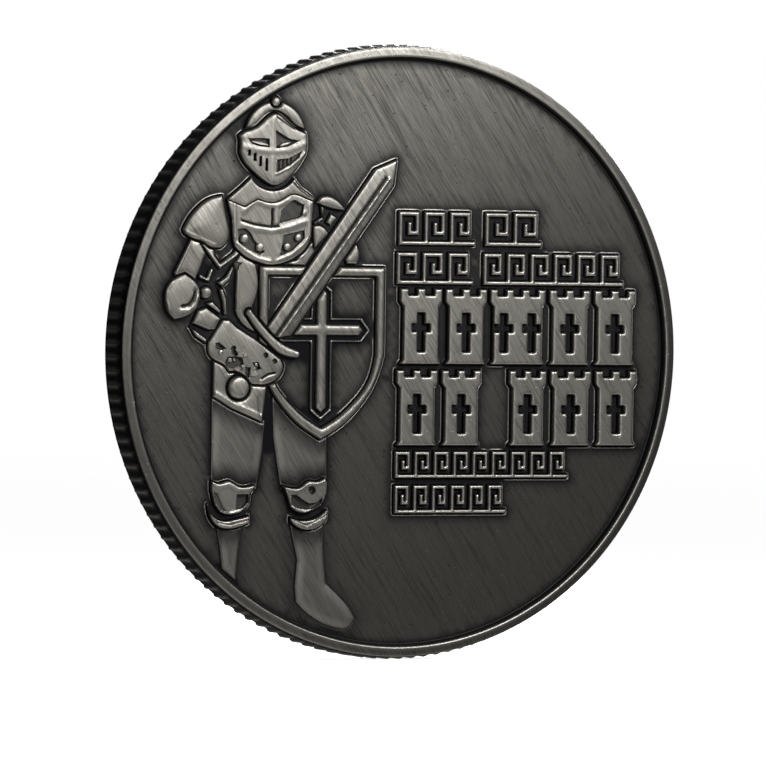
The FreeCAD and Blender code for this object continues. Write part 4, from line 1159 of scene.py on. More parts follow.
PLAIN_SHIELD = [(5.4, 1.2), (4.9, -1.6), (3.7, -4.0), (2.1, -5.8), (0.0, -7.1)]
PLAIN_PANEL = [(4.8, 1.2), (4.3, -1.5), (3.2, -3.7), (1.8, -5.3), (0.0, -6.4)]
PANEL_DEPTH, PANEL_BEVEL = 0.16, 0.12
SHIELD_TOP, PANEL_TOP = 6.2, 5.6
WREATH_RADIUS = 12.4
STEM_HALF = 0.18  # half the stem's width
LEAVES = 11  # steps up each side of the wreath, with two leaves at each
FIRST_LEAF, LEAF_STEP = 14.0, 13.0  # degrees round the wreath, from its foot and from leaf to leaf
LEAF_LENGTH, LEAF_WIDTH = 3.6, 1.35
LEAF_SPLAY = 0.42  # how far a leaf turns away from the stem, in radians
LEAF_ROOT = 0.45  # distance of a leaf's root from the middle of the stem
SHIELD_GRID, LEAF_GRID = 0.4, 0.25  # wider than the usual grid
# The leaf swells towards its middle and has a midrib with four pairs of veins.
LEAF_DETAILS = [Dome(0.12, 0.5), Ridge([(0.2, 0.0), (3.2, 0.0)], 0.12, -0.1)] + [
    Ridge([(x, 0.0), (x + 0.4, side * 0.42)], 0.07, -0.05) for x in (0.9, 1.5, 2.1, 2.7) for side in (-1, 1)]
BEAD_CIRCLE, BEAD_RADIUS, BEAD_SINK = 17.85, 0.33, 0.005


def plain_shield(top, half):
    """Outline of a shield about the coin's middle line, from its right side."""
    x, _ = half[0]
    return trace((-x, top), [(x, top)], [half[0]], half[1:], mirrored(half, 0)[1:])


REVERSE_OUTLINES = {
    "reverse_shield": [plain_shield(SHIELD_TOP, PLAIN_SHIELD)],
    "wreath_stem": [ring(0, 0, WREATH_RADIUS + STEM_HALF, 0.2), ring(0, 0, WREATH_RADIUS - STEM_HALF, 0.2)],
}


def piece_height(node):
    """How far a frame node stands above the field."""
    low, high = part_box(node)
    return max(-low.y, high.y) / MM - FIELD


def strike(slot, *names):
    """Makes obverse pieces from their outlines, their details and what lies over them."""
    for name in names:
        cuts = []
        for other in COVERS.get(name, []):
            # Both knee bands lie over a shin, and elsewhere the first outline is the outer one.
            over = OUTLINES[other] if other == "knee_bands" else OUTLINES[other][:1]
            cuts += [spread(loop, WIDE_GAPS.get(other, COVER_GAP)) for loop in over]
        piece = struck(
            name + "_struck", OUTLINES[name], piece_height(name), DETAILS.get(name, ()), cuts,
            edge=EDGES.get(name, EDGE), wall=WALLS.get(name, WALL),
            dullness_and_shade=LOW_DULLNESS_AND_SHADE if name in LOW_PIECES else 0.0)
        settle(piece, slot, name)
    return {"FINISHED"}


# ---------------------------------------------------------------- the blank

# Corners of a rim's crown as (radius, level, patina and shade, polish and highlight).
RIM_CROWN = [
    # The polish at 18.97 is a painted highlight line at the foot of the wall.
    (18.88, 0.99, 1, 0), (18.93, 1.0, 0.9, 0), (18.97, 1.05, 0.5, 0.6), (19.0, 1.12, 1, 0),
    (19.06, 1.32, 0.9, 0), (19.15, 1.42, 0.8, 0), (19.2, 1.475, 0.1, 0.5), (19.24, 1.497, 0, 0.7),
    (19.29, 1.5, 0, 0.3), (19.45, 1.485, 0, 0), (19.6, 1.47, 0, 0), (19.72, 1.457, 0, 0.1),
    (19.76, 1.443, 0, 0.5), (19.785, 1.41, 0.2, 0.4), (19.8, 1.35, 0.9, 0), (19.8, 1.2, 1, 0),
    (19.8, 0.96, 1, 0), (18.88, 0.96, 1, 0)]
# Corners of the two reeded bands as (radius, level, reach of the reeds).
SHOULDER = [
    (18.9, -0.995, 0), (19.8, -0.995, 0), (19.84, -0.985, 0), (19.87, -0.95, 0.05), (19.9, -0.86, 0.3),
    (19.94, -0.72, 0.65), (19.97, -0.6, 0.85), (20.0, -0.48, 1), (20.0, REED_FRONT, 1), (18.9, REED_FRONT, 0)]
REEDED_EDGE = [
    (18.9, REED_FRONT, 0), (EDGE_RADIUS, REED_FRONT, 1), (EDGE_RADIUS, 0.1, 1), (EDGE_RADIUS, 0.6, 1),
    (EDGE_RADIUS - 0.01, 0.93, 1), (EDGE_RADIUS - 0.05, 0.985, 0.8), (19.8, FIELD, 0.3), (18.9, FIELD, 0)]

# The field beside a raised piece as (distance, level, patina and shade, polish): a dark groove, then a worn
# lip.
# Beyond the lip, patina and painted shade fade out over the open field by 1.3 mm.
FIELD_PROFILE = (
    (0.0, -SINK, 1.0, 0.0), (0.035, -SINK, 1.0, 0.0), (0.07, 0.0, 0.9, 0.0), (0.1, 0.045, 0.1, 0.75),
    (0.135, 0.045, 0.1, 0.7), (0.18, 0.0, 0.9, 0.0), (0.25, 0.0, 0.8, 0.0), (0.6, 0.0, 0.3, 0.0),
    (1.3, 0.0, 0.0, 0.0))
FIELD_STEPS = [distance for distance, *_ in FIELD_PROFILE[1:7]]  # where the field has rows of points
FIELD_GRID, GRID_CLEAR = 0.55, 0.45  # the open field's own points, and how far they keep from outlines
BORDER_STEP, BORDER_CLEAR, LOOSE_CLEAR = 0.25, 0.2, 0.02  # the same for the field's border
TIGHT_PATINA = 0.8  # between two pieces that stand close together
# Painted shadow on the field right beside a low piece.
LOW_PAINTED_SHADOW = 0.75  # right beside a low piece
# Patina and painted shade on the field at the foot of the rim.
RIM_PATINA_AND_SHADE, RIM_SHADOW = 0.7, 0.45  # at the foot of the rim, and how wide it is


def field_sheet(loops, low):
    """Points, triangles, levels, patina and shade, and polish of one field.

    There is a fine lip round each raised piece, but for the low ones, whose outlines are the last loops.
    """
    nearest = Nearest(np.vstack(loops))
    near, near_distance, near_ground = offset_points(loops, FIELD_STEPS, 1, nearest, low)
    lattice = hexagonal_grid((-FIELD_RADIUS, -FIELD_RADIUS), (FIELD_RADIUS, FIELD_RADIUS), FIELD_GRID)
    lattice_distance = nearest.distances(lattice)
    kept = (lattice_distance > GRID_CLEAR) & (np.hypot(*lattice.T) < FIELD_RADIUS - BORDER_CLEAR)
    loose = np.vstack([near, lattice[kept]])
    within = np.hypot(*loose.T) < FIELD_RADIUS - LOOSE_CLEAR
    border = ring(0, 0, FIELD_RADIUS, BORDER_STEP)
    flat, faces, source = triangulated([border, *loops], loose[within])

    # The border counts as open ground, and an outline as closed ground at no distance.
    start = np.concatenate([np.ones(len(border)), np.zeros(sum(len(loop) for loop in loops))])
    distance = np.concatenate([start, np.concatenate([near_distance, lattice_distance[kept]])[within]])
    distance = np.where(source >= 0, distance[source], 0.0)
    ground = np.concatenate([start, np.concatenate([near_ground, np.ones(np.sum(kept))])[within]])
    ground = np.where(source >= 0, ground[source], 0.0)
    beside_low = ground < 0
    ground = np.clip(ground, 0, 1)

    steps, level, patina, polish = np.array(FIELD_PROFILE).T
    level = np.interp(distance, steps, level)
    level = np.where(level > 0, level * ground, level)
    tight = TIGHT_PATINA * (1 - ground) * (distance < FIELD_STEPS[-1] + 0.01)
    stain_and_shade = np.maximum(np.interp(distance, steps, patina), tight)
    # Painted shadow on the field beside the low pieces, fading out with distance.
    stain_and_shade = np.where(beside_low, LOW_PAINTED_SHADOW - distance, stain_and_shade)
    # Patina and painted shade on the field at the foot of the rim.
    stain_and_shade += RIM_PATINA_AND_SHADE * smoothstep((np.hypot(*flat.T) - FIELD_RADIUS + RIM_SHADOW) / RIM_SHADOW)
    return flat, faces, level, np.clip(stain_and_shade, 0, 1), np.interp(distance, steps, polish) * ground


def blank():
    """The disc: a detailed field on each face, joined by a plain wall at the field's radius."""
    front_loops = [loop for name, loops in OUTLINES.items() if name not in LOW_PIECES for loop in loops]
    front_loops += [OUTLINES[name][0] for name in LOW_PIECES]
    back_loops = [loop for loops in REVERSE_OUTLINES.values() for loop in loops] + leaf_loops()
    vertices, faces, patina, polish, borders = [], [], [], [], []
    base = 0
    for sign, loops, low in ((-1, front_loops, len(LOW_PIECES)), (1, back_loops, 0)):
        flat, triangles, level, stain_and_shade, shine = field_sheet(loops, low)
        vertices.append(np.stack([flat[:, 0], sign * (FIELD + level), flat[:, 1]], 1))
        patina.append(stain_and_shade)
        polish.append(shine)
        faces += [tuple(face + base) for face in turned_alike(flat, triangles, -sign)]
        border = np.where(np.hypot(*flat.T) > FIELD_RADIUS - 0.001)[0]
        borders.append(border[np.argsort(np.arctan2(flat[border, 1], flat[border, 0]))] + base)
        base += len(flat)
    front, back = borders
    faces += zip(front, back, np.roll(back, -1), np.roll(front, -1))
    return mesh_object("struck_blank", np.vstack(vertices), faces, {
        "patina": np.concatenate(patina), "polish": np.concatenate(polish)}, sharp=60)


def reeding_tree():
    """Scoops cut across the edge by rule: the radius at each angle follows one round cutter per reed."""
    tree, graph, given = new_tree("Reeding", [
        ("Reeds", "NodeSocketInt"), ("Depth", "NodeSocketFloat"), ("Cutter radius", "NodeSocketFloat"),
        ("Edge radius", "NodeSocketFloat"), ("Material", "NodeSocketMaterial")])
    edge, cutter = given["Edge radius"], given["Cutter radius"]
    place = graph.add("GeometryNodeInputPosition")
    x = graph.add("ShaderNodeSeparateXYZ", {}, {0: place}, "X")
    y, z = graph.other(x, "Y"), graph.other(x, "Z")
    pitch = graph.number(FULL_TURN) / given["Reeds"]
    half = pitch * 0.5
    turn = (z.math("ARCTAN2", x) + half + 2 * FULL_TURN).math("MODULO", pitch) - half
    centre = edge - given["Depth"] + cutter
    side = centre * turn.math("SINE")
    chord = (cutter * cutter - side * side).math("MAXIMUM", 0.0)
    scooped = centre * turn.math("COSINE") - chord.math("SQRT")
    missed = chord.math("LESS_THAN", 1e-12)
    cut = (edge - scooped.math("MINIMUM", edge)) * (1 - missed)
    reach = graph.point_value("reach")
    radius = (x * x + z * z).math("SQRT")
    scale = (radius - cut * reach) / radius
    moved = graph.add("ShaderNodeCombineXYZ", {}, {"X": x * scale, "Y": y, "Z": z * scale})
    shaped = graph.add("GeometryNodeSetPosition", {}, {"Geometry": given["Geometry"], "Position": moved})
    share = (cut / given["Depth"]).clamped()
    # The scoops and the plain band next to the rim are darkened: patina and painted shade.
    stained_and_shaded = graph.with_value(shaped, "patina", (share * 0.9 + (1 - reach) * 0.6).clamped())
    graph.end(graph.with_value(stained_and_shaded, "polish", (1 - share) * reach * 0.2), given["Material"])
    return tree


# Where each scoop has its columns of points, as shares of the way from its middle to its edge.
SCOOP_COLUMNS = (-0.995, -0.75, -0.45, -0.15, 0.15, 0.45, 0.75, 0.995)


def reeded_ring(name, section):
    """A closed ring with scoops, from (radius, level, reach of the reeds) corners."""
    sizes = bpy.context.scene.coin_sizes
    cutter = sizes.reed_cutter_radius / MM
    centre = EDGE_RADIUS - sizes.reed_depth / MM + cutter
    half = math.acos((EDGE_RADIUS**2 + centre**2 - cutter**2) / (2 * EDGE_RADIUS * centre))
    pitch = FULL_TURN / sizes.reed_count
    land = (pitch / 2 - half) * 0.5 + half
    turns = [half * share for share in SCOOP_COLUMNS] + [-land, land]
    angles = np.sort([number * pitch + turn for number in range(sizes.reed_count) for turn in turns])
    vertices, faces = swept(section, angles)
    piece = mesh_object(name, vertices, faces, {"reach": np.tile(np.array(section)[:, 2], len(angles))})
    tree = bpy.data.node_groups.get("Reeding") or reeding_tree()
    node_modifier(piece, tree, {
        "Reeds": sizes.reed_count, "Depth": sizes.reed_depth, "Cutter radius": sizes.reed_cutter_radius,
        "Edge radius": EDGE_RADIUS * MM, "Material": finish_for("edge_metal")})
    return plain_mesh(piece)


# ---------------------------------------------------------------- set-out pieces

def setting_out_tree(name):
    """One piece repeated at each point, turned and sized by the point's own values."""
    tree, graph, given = new_tree(name, [
        ("Piece", "NodeSocketObject"), ("Size", "NodeSocketFloat"), ("Material", "NodeSocketMaterial")])
    source = graph.add(
        "GeometryNodeObjectInfo", {"transform_space": "ORIGINAL"}, {"Object": given["Piece"]}, "Geometry")
    rotation = graph.add("ShaderNodeCombineXYZ", {}, {"Y": graph.point_value("turn")})
    size = graph.point_value("size") * given["Size"]
    placed = graph.add("GeometryNodeInstanceOnPoints", {}, {
        "Points": given["Geometry"], "Instance": source, "Rotation": rotation,
        "Scale": graph.add("ShaderNodeCombineXYZ", {}, {"X": size, "Y": size, "Z": size})})
    graph.end(placed, given["Material"])
    return tree


def set_out(name, pattern, points, turns, sizes, slot):
    """A piece made of the pattern repeated at points in mm."""
    mesh = bpy.data.meshes.new(name)
    mesh.from_pydata((np.array(points) * MM).tolist(), [], [])
    point_values(mesh, "turn", turns)
    point_values(mesh, "size", sizes)
    piece = shown(name, mesh)
    node_modifier(piece, setting_out_tree(name), {
        "Piece": pattern, "Size": 1.0, "Material": finish_for(slot)})
    plain_mesh(piece)
    bpy.data.objects.remove(pattern)
    return piece


BUTTON_FOOT = 0.02  # how far a round boss reaches below its points


def button(name, radius, height, columns, rows, sign):
    """A round boss with a flat bottom, about its own middle, whose top rises by the height."""
    vertices, patina, polish = [(0.0, sign * height, 0.0)], [0.0], [0.8]
    rings = [
        (share, sign * height * math.sqrt(1 - share**4) * 0.999) for share in np.linspace(0, 1, rows + 1)[1:]]
    for share, level in [*rings, (1.0, -sign * BUTTON_FOOT)]:
        for angle in np.arange(columns) * FULL_TURN / columns:
            vertices.append((radius * share * math.cos(angle), level, radius * share * math.sin(angle)))
        patina += [float(share > 0.93)] * columns
        polish += [0.7 * (share < 0.9)] * columns
    count = len(vertices)
    faces = disc_faces(columns, rows + 1)
    faces.append(tuple(range(count - columns, count))[::-1])
    if sign > 0:
        faces = [face[::-1] for face in faces]
    return mesh_object(name, vertices, faces, {"patina": patina, "polish": polish})


RIVET_FLOOR = 0.1  # level of the recess that a rivet stands in
USUAL_RIVET = 0.3  # radius at which a rivet comes out as high as its frame node


def rivets():
    """The round rivets of the breastplate, each on the floor of its recess."""
    pattern = button("rivet_pattern", 1.0, 1.0, 20, 6, -1)
    rise = (piece_height("breastplate_rivets") - RIVET_FLOOR) / USUAL_RIVET
    pattern.data.transform(Matrix.Diagonal((1, rise, 1, 1)))
    points = [(x, -(FIELD + RIVET_FLOOR), z) for x, z, _ in RIVETS]
    sizes = [radius for _, _, radius in RIVETS]
    return set_out("breastplate_rivets_set", pattern, points, [0.0] * len(RIVETS), sizes, "armour_metal")


def leaf_places():
    """Side, root and direction of every leaf. Side 1 is the wreath's left side, seen from behind the coin."""
    places = []
    for side in (1, -1):
        for index in range(LEAVES):
            angle = math.radians(-90 + side * (FIRST_LEAF + LEAF_STEP * index))
            for out in (1, -1):
                direction = angle + side * (math.pi / 2 - out * LEAF_SPLAY)
                radius = WREATH_RADIUS + out * LEAF_ROOT
                places.append((side, radius * math.cos(angle), radius * math.sin(angle), direction))
    return places


def leaf_outline():
    """A pointed leaf along +X from its root."""
    root, tip = (0.0, 0.0), (LEAF_LENGTH, 0.0)
    middle = LEAF_LENGTH * 0.45
    return trace(root, [(middle, -LEAF_WIDTH / 2), tip], [(middle, LEAF_WIDTH / 2), root])


def leaf_loops():
    """The outline of every leaf where it stands on the reverse, with a third of its points."""
    outline = leaf_outline()[::3]
    loops = []
    for _, x, z, direction in leaf_places():
        c, s = math.cos(direction), math.sin(direction)
        loops.append(outline @ np.array([[c, s], [-s, c]]) + (x, z))
    return loops


def wreath_branch(name, side):
    """Leaves up one side of the wreath."""
    height = piece_height("wreath_left")
    pattern = struck("leaf_pattern", [leaf_outline()], height, LEAF_DETAILS, grid=LEAF_GRID, side="reverse")
    pattern.data.transform(Matrix.Translation((0, -FIELD * MM, 0)))
    chosen = [place for place in leaf_places() if place[0] == side]
    points = [(x, FIELD, z) for _, x, z, _ in chosen]
    turns = [-direction for *_, direction in chosen]
    return set_out(name, pattern, points, turns, [1.0] * len(chosen), "reverse_metal")


def bead_ring():
    """A ring of round beads near the reverse rim."""
    count = bpy.context.scene.coin_sizes.bead_count
    pattern = button("bead_pattern", BEAD_RADIUS, piece_height("bead_ring"), 10, 3, 1)
    angles = np.arange(count) * FULL_TURN / count
    x, z = BEAD_CIRCLE * np.cos(angles), BEAD_CIRCLE * np.sin(angles)
    points = np.stack([x, np.full(count, FIELD - BEAD_SINK), z], 1)
    return set_out("bead_ring_beads", pattern, points, np.zeros(count), np.ones(count), "reverse_metal")


# ---------------------------------------------------------------- stage, in metres

# What the metal reflects all round the coin, overhead and underneath.
ROOM_AROUND, ROOM_ABOVE, ROOM_BELOW = (0.02, 0.02, 0.023, 1), (0.14, 0.14, 0.14, 1), (0.5, 0.49, 0.47, 1)
FLOOR_COLUMNS, FLOOR_RADII = 96, (0.05, 0.12, 0.25, 0.5, 0.9)
FLOOR_FADE = (0.12, 0.5)  # from where to where the floor fades out
# Lights as (name, azimuth, elevation, distance, width, height, power), with the angles in degrees.
LIGHTS = (
    ("key", 20, 38, 0.078, 0.04, 0.04, 0.062),
    ("left_key", -3, 11, 0.16, 0.03, 0.05, 0.018),
    ("side_fill", -55, 12, 0.3, 0.12, 0.12, 0.05),
    ("low_bounce", 5, -30, 0.15, 0.10, 0.05, 0.012),
    ("back_key", 138, 32, 0.1, 0.06, 0.06, 0.22),
)
SENSOR_WIDTH = 36.0


def towards(azimuth, elevation):
    """Unit vector from the coin in a direction. Azimuth 0 is in front, and a right angle is to the right."""
    level = math.cos(elevation)
    return Vector((math.sin(azimuth) * level, -math.cos(azimuth) * level, math.sin(elevation)))


def room(scene):
    """A pale backdrop for the camera and dim surroundings for the metal to reflect."""
    world = bpy.data.worlds.new("Studio")
    graph = emptied(world)
    camera_ray = graph.add("ShaderNodeLightPath", {}, {}, "Is Camera Ray")
    direction = graph.add("ShaderNodeTexCoord", {}, {}, "Generated")
    height = graph.dot(direction, (0, 0, 1))
    around = graph.mix(height.between(-0.1, 0.9), ROOM_AROUND, ROOM_ABOVE)
    around = graph.mix((height * -1.0).between(0.2, 0.8), around, ROOM_BELOW)
    seen = graph.mix(camera_ray, around, (*scene.coin_stage.backdrop_colour, 1))
    background = graph.add("ShaderNodeBackground", {}, {"Color": seen, "Strength": 1.0})
    graph.add("ShaderNodeOutputWorld", {}, {"Surface": background})
    scene.world = world
    scene.view_settings.view_transform = "Standard"


def pale_floor(settings):
    """A round floor under the coin that fades into the backdrop."""
    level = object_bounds()[0].z
    vertices = [(0.0, 0.0, level)]
    for radius in FLOOR_RADII:
        for angle in np.arange(FLOOR_COLUMNS) * FULL_TURN / FLOOR_COLUMNS:
            vertices.append((radius * math.cos(angle), radius * math.sin(angle), level))
    mesh = bpy.data.meshes.new("floor")
    mesh.from_pydata(vertices, [], disc_faces(FLOOR_COLUMNS, len(FLOOR_RADII)))
    surface = bpy.data.materials.new("Pale floor")
    graph = emptied(surface)
    place = graph.add("ShaderNodeTexCoord", {}, {}, "Object")
    reach = graph.add("ShaderNodeVectorMath", {"operation": "LENGTH"}, {0: place}, "Value")
    fade = reach.between(*FLOOR_FADE)
    colour = (*settings.floor_colour, 1)
    paint = graph.add("ShaderNodeBsdfDiffuse", {}, {"Color": colour})
    glow = graph.add("ShaderNodeEmission", {}, {"Color": colour, "Strength": settings.floor_lift})
    both = graph.add("ShaderNodeAddShader", {}, {0: paint, 1: glow})
    clear = graph.add("ShaderNodeBsdfTransparent")
    mixed = graph.add("ShaderNodeMixShader", {}, {0: fade, 1: both, 2: clear})
    graph.add("ShaderNodeOutputMaterial", {}, {"Surface": mixed})
    mesh.materials.append(surface)
    floor = shown("floor", mesh)
    floor.visible_glossy = False
    floor.visible_shadow = False
    floor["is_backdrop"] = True


def soft_light(name, azimuth, elevation, distance, width, height, power):
    """A rectangular light aimed at the coin from a direction."""
    place = towards(math.radians(azimuth), math.radians(elevation)) * distance
    lamp = bpy.data.lights.new(name, "AREA")
    lamp.shape = "RECTANGLE"
    lamp.size, lamp.size_y = width, height
    lamp.energy = power
    light = shown(name, lamp)
    light.location = place
    light.visible_camera = False
    light.rotation_euler = (-place).to_track_quat("-Z", "Y").to_euler()


def camera(scene):
    """The camera, aimed at the coin's middle and then moved along its own picture."""
    settings = scene.coin_stage
    place = towards(settings.camera_azimuth, settings.camera_elevation) * settings.camera_distance
    ahead = -place.normalized()
    right = Vector((math.cos(settings.camera_azimuth), math.sin(settings.camera_azimuth), 0.0))
    up = right.cross(ahead).normalized()
    c, s = math.cos(settings.camera_roll), math.sin(settings.camera_roll)
    right, up = right * c + up * s, up * c - right * s
    place += right * settings.camera_shift_right + up * settings.camera_shift_up
    lens = bpy.data.cameras.new("camera")
    lens.lens = settings.lens
    lens.sensor_width = SENSOR_WIDTH
    lens.clip_start, lens.clip_end = 0.01, 10.0
    scene.camera = shown("camera", lens)
    turned_to = Matrix((right, up, -ahead)).transposed().to_4x4()
    scene.camera.matrix_world = Matrix.Translation(place) @ turned_to


# ---------------------------------------------------------------- operators

class COIN_OT_blank(bpy.types.Operator):
    """Make the blank with both fields, its rims, shoulder and reeded edge"""

    bl_idname = "coin.blank"
    bl_label = "Blank and edge"

    def execute(self, context):
        settle(blank(), "field_metal", "core_disc")
        front = [(radius, -level, patina, polish) for radius, level, patina, polish in RIM_CROWN]
        settle(turned("obverse_rim_turned", front), "rim_metal", "obverse_rim")
        settle(turned("reverse_rim_turned", RIM_CROWN), "rim_metal", "reverse_rim")
        settle(reeded_ring("edge_shoulder_cut", SHOULDER), "edge_metal", "edge_shoulder")
        settle(reeded_ring("reeded_edge_cut", REEDED_EDGE), "edge_metal", "reeded_edge")
        return {"FINISHED"}


class COIN_OT_helm(bpy.types.Operator):
    """Make the closed helm: skull, visor and finial"""

    bl_idname = "coin.helm"
    bl_label = "Helm"

    def execute(self, context):
        return strike("armour_metal", "helm_skull", "helm_visor", "helm_finial")


class COIN_OT_torso(bpy.types.Operator):
    """Make the gorget, breastplate with its rivets, waist plate and fauld"""

    bl_idname = "coin.torso"
    bl_label = "Torso"

    def execute(self, context):
        strike("armour_metal", "gorget", "breastplate", "waist_plate", "fauld")
        settle(rivets(), "armour_metal", "breastplate_rivets")
        return {"FINISHED"}


class COIN_OT_arms(bpy.types.Operator):
    """Make the pauldrons, arm plates, elbows and gauntlet"""

    bl_idname = "coin.arms"
    bl_label = "Arms"

    def execute(self, context):
        return strike(
            "armour_metal", "pauldron_left", "arm_lame_left", "upper_arm_left", "arm_buckle",
            "elbow_cup_left", "elbow_stud", "forearm_left", "forearm_straps", "gauntlet", "pauldron_right",
            "arm_plates_right", "upper_arm_right", "elbow_cup_right")


class COIN_OT_sword(bpy.types.Operator):
    """Make the sword's blade, guard and pommel"""

    bl_idname = "coin.sword"
    bl_label = "Sword"

    def execute(self, context):
        return strike("sword_metal", "sword_blade", "crossguard", "sword_pommel")


class COIN_OT_shield(bpy.types.Operator):
    """Make the shield's frame and its outlined cross"""

    bl_idname = "coin.shield"
    bl_label = "Shield"

    def execute(self, context):
        return strike("shield_metal", "shield_frame", "shield_cross", "cross_outline")


class COIN_OT_legs(bpy.types.Operator):
    """Make the tasset, thighs, knees and shins"""

    bl_idname = "coin.legs"
    bl_label = "Legs"

    def execute(self, context):
        return strike(
            "armour_metal", "tasset", "thigh_left", "thigh_right", "knee_left", "knee_right", "knee_bands",
            "shin_left", "shin_right")


class COIN_OT_ornament(bpy.types.Operator):
    """Make the rows of frets and towers"""

    bl_idname = "coin.ornament"
    bl_label = "Ornament rows"

    def execute(self, context):
        towers = [name for name in OUTLINES if "_tower_" in name]
        return strike("ornament_metal", *FRET_ROWS, *towers)


class COIN_OT_reverse(bpy.types.Operator):
    """Make the wreath, its stem, the plain shield and the ring of beads"""

    bl_idname = "coin.reverse"
    bl_label = "Reverse"

    def execute(self, context):
        panel = Sunk(plain_shield(PANEL_TOP, PLAIN_PANEL), PANEL_DEPTH, PANEL_BEVEL)
        for name, details, grid in (("reverse_shield", [panel], SHIELD_GRID), ("wreath_stem", [], GRID)):
            outlines, height = REVERSE_OUTLINES[name], piece_height(name)
            piece = struck(name + "_struck", outlines, height, details, grid=grid, side="reverse")
            settle(piece, "reverse_metal", name)
        for name, side in (("wreath_left", 1), ("wreath_right", -1)):
            settle(wreath_branch(name + "_leaves", side), "reverse_metal", name)
        settle(bead_ring(), "reverse_metal", "bead_ring")
        return {"FINISHED"}


class COIN_OT_stage(bpy.types.Operator):
    """Set up the floor, the light and the camera"""

    bl_idname = "coin.stage"
    bl_label = "Stage"

    def execute(self, context):
        settings = context.scene.coin_stage
        room(context.scene)
        pale_floor(settings)
        for *light, power in LIGHTS:
            soft_light(*light, power * settings.light_power)
        camera(context.scene)
        return {"FINISHED"}


# ---------------------------------------------------------------- settings and panel

class CoinSizes(bpy.types.PropertyGroup):
    """Sizes of what is repeated round the coin"""

    reed_count: IntProperty(name="Reeds", description="Scoops round the edge", default=140, min=20)
    reed_depth: FloatProperty(
        name="Reed depth", description="How deep each scoop is cut", default=0.00016, precision=5,
        subtype="DISTANCE", unit="LENGTH")
    reed_cutter_radius: FloatProperty(
        name="Reed cutter radius", description="Radius of the round cutter that makes a scoop",
        default=0.0005, precision=5, subtype="DISTANCE", unit="LENGTH")
    bead_count: IntProperty(name="Beads", description="Beads round the reverse", default=112, min=12)


class CoinFinish(bpy.types.PropertyGroup):
    """Colours and surface of the antique metal"""

    steel_colour: FloatVectorProperty(
        name="Steel", description="Metal of the brushed surfaces", subtype="COLOR", size=3,
        default=(0.36, 0.345, 0.31), min=0.0, max=1.0)
    worn_colour: FloatVectorProperty(
        name="Worn metal", description="Metal laid bare on the crests", subtype="COLOR", size=3,
        default=(0.56, 0.54, 0.49), min=0.0, max=1.0)
    # Also the colour of the painted shade at the rim's foot, round raised pieces and beside low and covered
    # pieces.
    patina_and_shade_colour: FloatVectorProperty(
        name="Patina", description="Black left in the recesses", subtype="COLOR", size=3,
        default=(0.012, 0.012, 0.014), min=0.0, max=1.0)
    brushing_angle: FloatProperty(
        name="Brushing angle", description="Fall of the brush lines to the right", subtype="ANGLE",
        unit="ROTATION", default=math.radians(57))
    brushing_depth: FloatProperty(
        name="Brushing depth", description="Strength of the brush lines", default=0.85, min=0.0, max=1.0)
    roughness: FloatProperty(
        name="Roughness", description="Softness of the reflections", default=0.47, min=0.0, max=1.0)


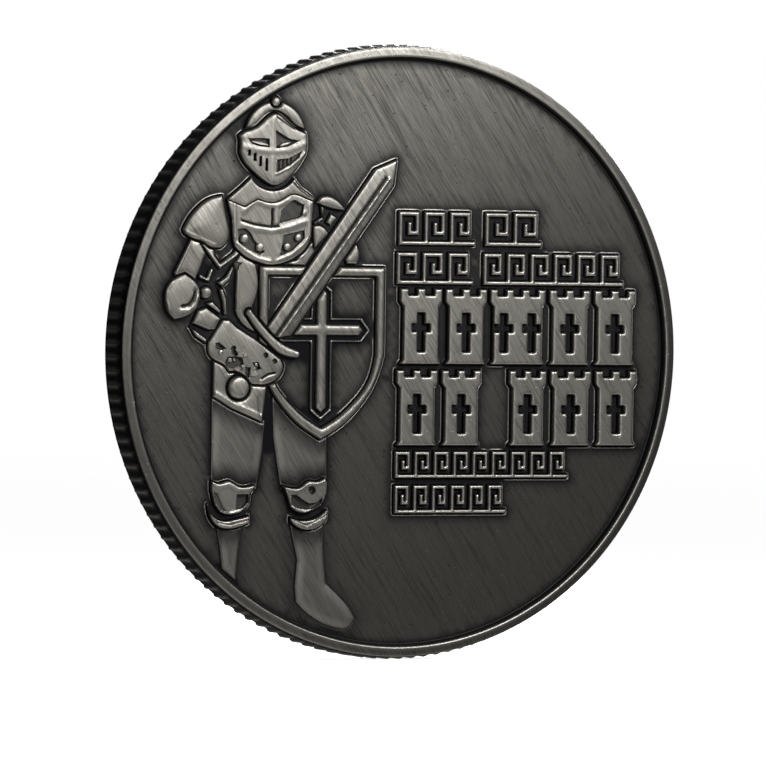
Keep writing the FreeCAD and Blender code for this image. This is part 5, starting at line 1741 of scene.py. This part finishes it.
class CoinStage(bpy.types.PropertyGroup):
    """Floor, surroundings, light and camera"""

    floor_colour: FloatVectorProperty(
        name="Floor", description="Colour of the floor", subtype="COLOR", size=3, default=(0.9, 0.9, 0.9),
        min=0.0, max=1.0)
    floor_lift: FloatProperty(
        name="Floor lift", description="Own glow of the pale floor", default=0.95, min=0.0)
    backdrop_colour: FloatVectorProperty(
        name="Backdrop", description="Colour behind the coin", subtype="COLOR", size=3,
        default=(1.0, 1.0, 1.0), min=0.0, max=1.0)
    light_power: FloatProperty(
        name="Light power", description="Power of the soft lights", default=1.0, min=0.0, subtype="POWER",
        unit="POWER")
    camera_azimuth: FloatProperty(
        name="Camera azimuth", description="Turn of the camera round the coin", subtype="ANGLE",
        unit="ROTATION", default=math.radians(-25.1))
    camera_elevation: FloatProperty(
        name="Camera elevation", description="Height of the camera as an angle", subtype="ANGLE",
        unit="ROTATION", default=math.radians(1.15))
    camera_distance: FloatProperty(
        name="Camera distance", description="Distance from the coin's middle", subtype="DISTANCE",
        unit="LENGTH", default=0.46)
    camera_roll: FloatProperty(
        name="Camera roll", description="Tilt of the camera about its own axis", subtype="ANGLE",
        unit="ROTATION", default=math.radians(0.8))
    camera_shift_right: FloatProperty(
        name="Camera to the right", description="Move of the camera along the picture's width",
        subtype="DISTANCE", unit="LENGTH", default=-0.00070, precision=5)
    camera_shift_up: FloatProperty(
        name="Camera up", description="Move of the camera along the picture's height", subtype="DISTANCE",
        unit="LENGTH", default=-0.00226, precision=5)
    lens: FloatProperty(
        name="Lens", description="Focal length in millimetres", default=329.0, min=20.0,
        subtype="DISTANCE_CAMERA", unit="CAMERA")


class COIN_PT_sidebar(bpy.types.Panel):
    """Lists the settings and the steps in order"""

    bl_idname = "COIN_PT_sidebar"
    bl_label = "Challenge coin"
    bl_space_type = "VIEW_3D"
    bl_region_type = "UI"
    bl_category = "Coin"

    def draw(self, context):
        layout = self.layout
        for group in (context.scene.coin_sizes, context.scene.coin_finish, context.scene.coin_stage):
            box = layout.box()
            for key in group.bl_rna.properties.keys():
                if key not in ("rna_type", "name"):
                    box.prop(group, key)
        for step in STEPS:
            layout.operator(step.bl_idname)


STEPS = (
    COIN_OT_blank, COIN_OT_helm, COIN_OT_torso, COIN_OT_arms, COIN_OT_sword, COIN_OT_shield, COIN_OT_legs,
    COIN_OT_ornament, COIN_OT_reverse, COIN_OT_stage,
)
CLASSES = (CoinSizes, CoinFinish, CoinStage, *STEPS, COIN_PT_sidebar)


def register():
    for part in CLASSES:
        bpy.utils.register_class(part)
    bpy.types.Scene.coin_sizes = PointerProperty(type=CoinSizes)
    bpy.types.Scene.coin_finish = PointerProperty(type=CoinFinish)
    bpy.types.Scene.coin_stage = PointerProperty(type=CoinStage)


def unregister():
    del bpy.types.Scene.coin_stage
    del bpy.types.Scene.coin_finish
    del bpy.types.Scene.coin_sizes
    for part in reversed(CLASSES):
        bpy.utils.unregister_class(part)


def main():
    register()
    for step in STEPS:
        group, action = step.bl_idname.split(".")
        getattr(getattr(bpy.ops, group), action)()


if __name__ == "__main__":
    main()
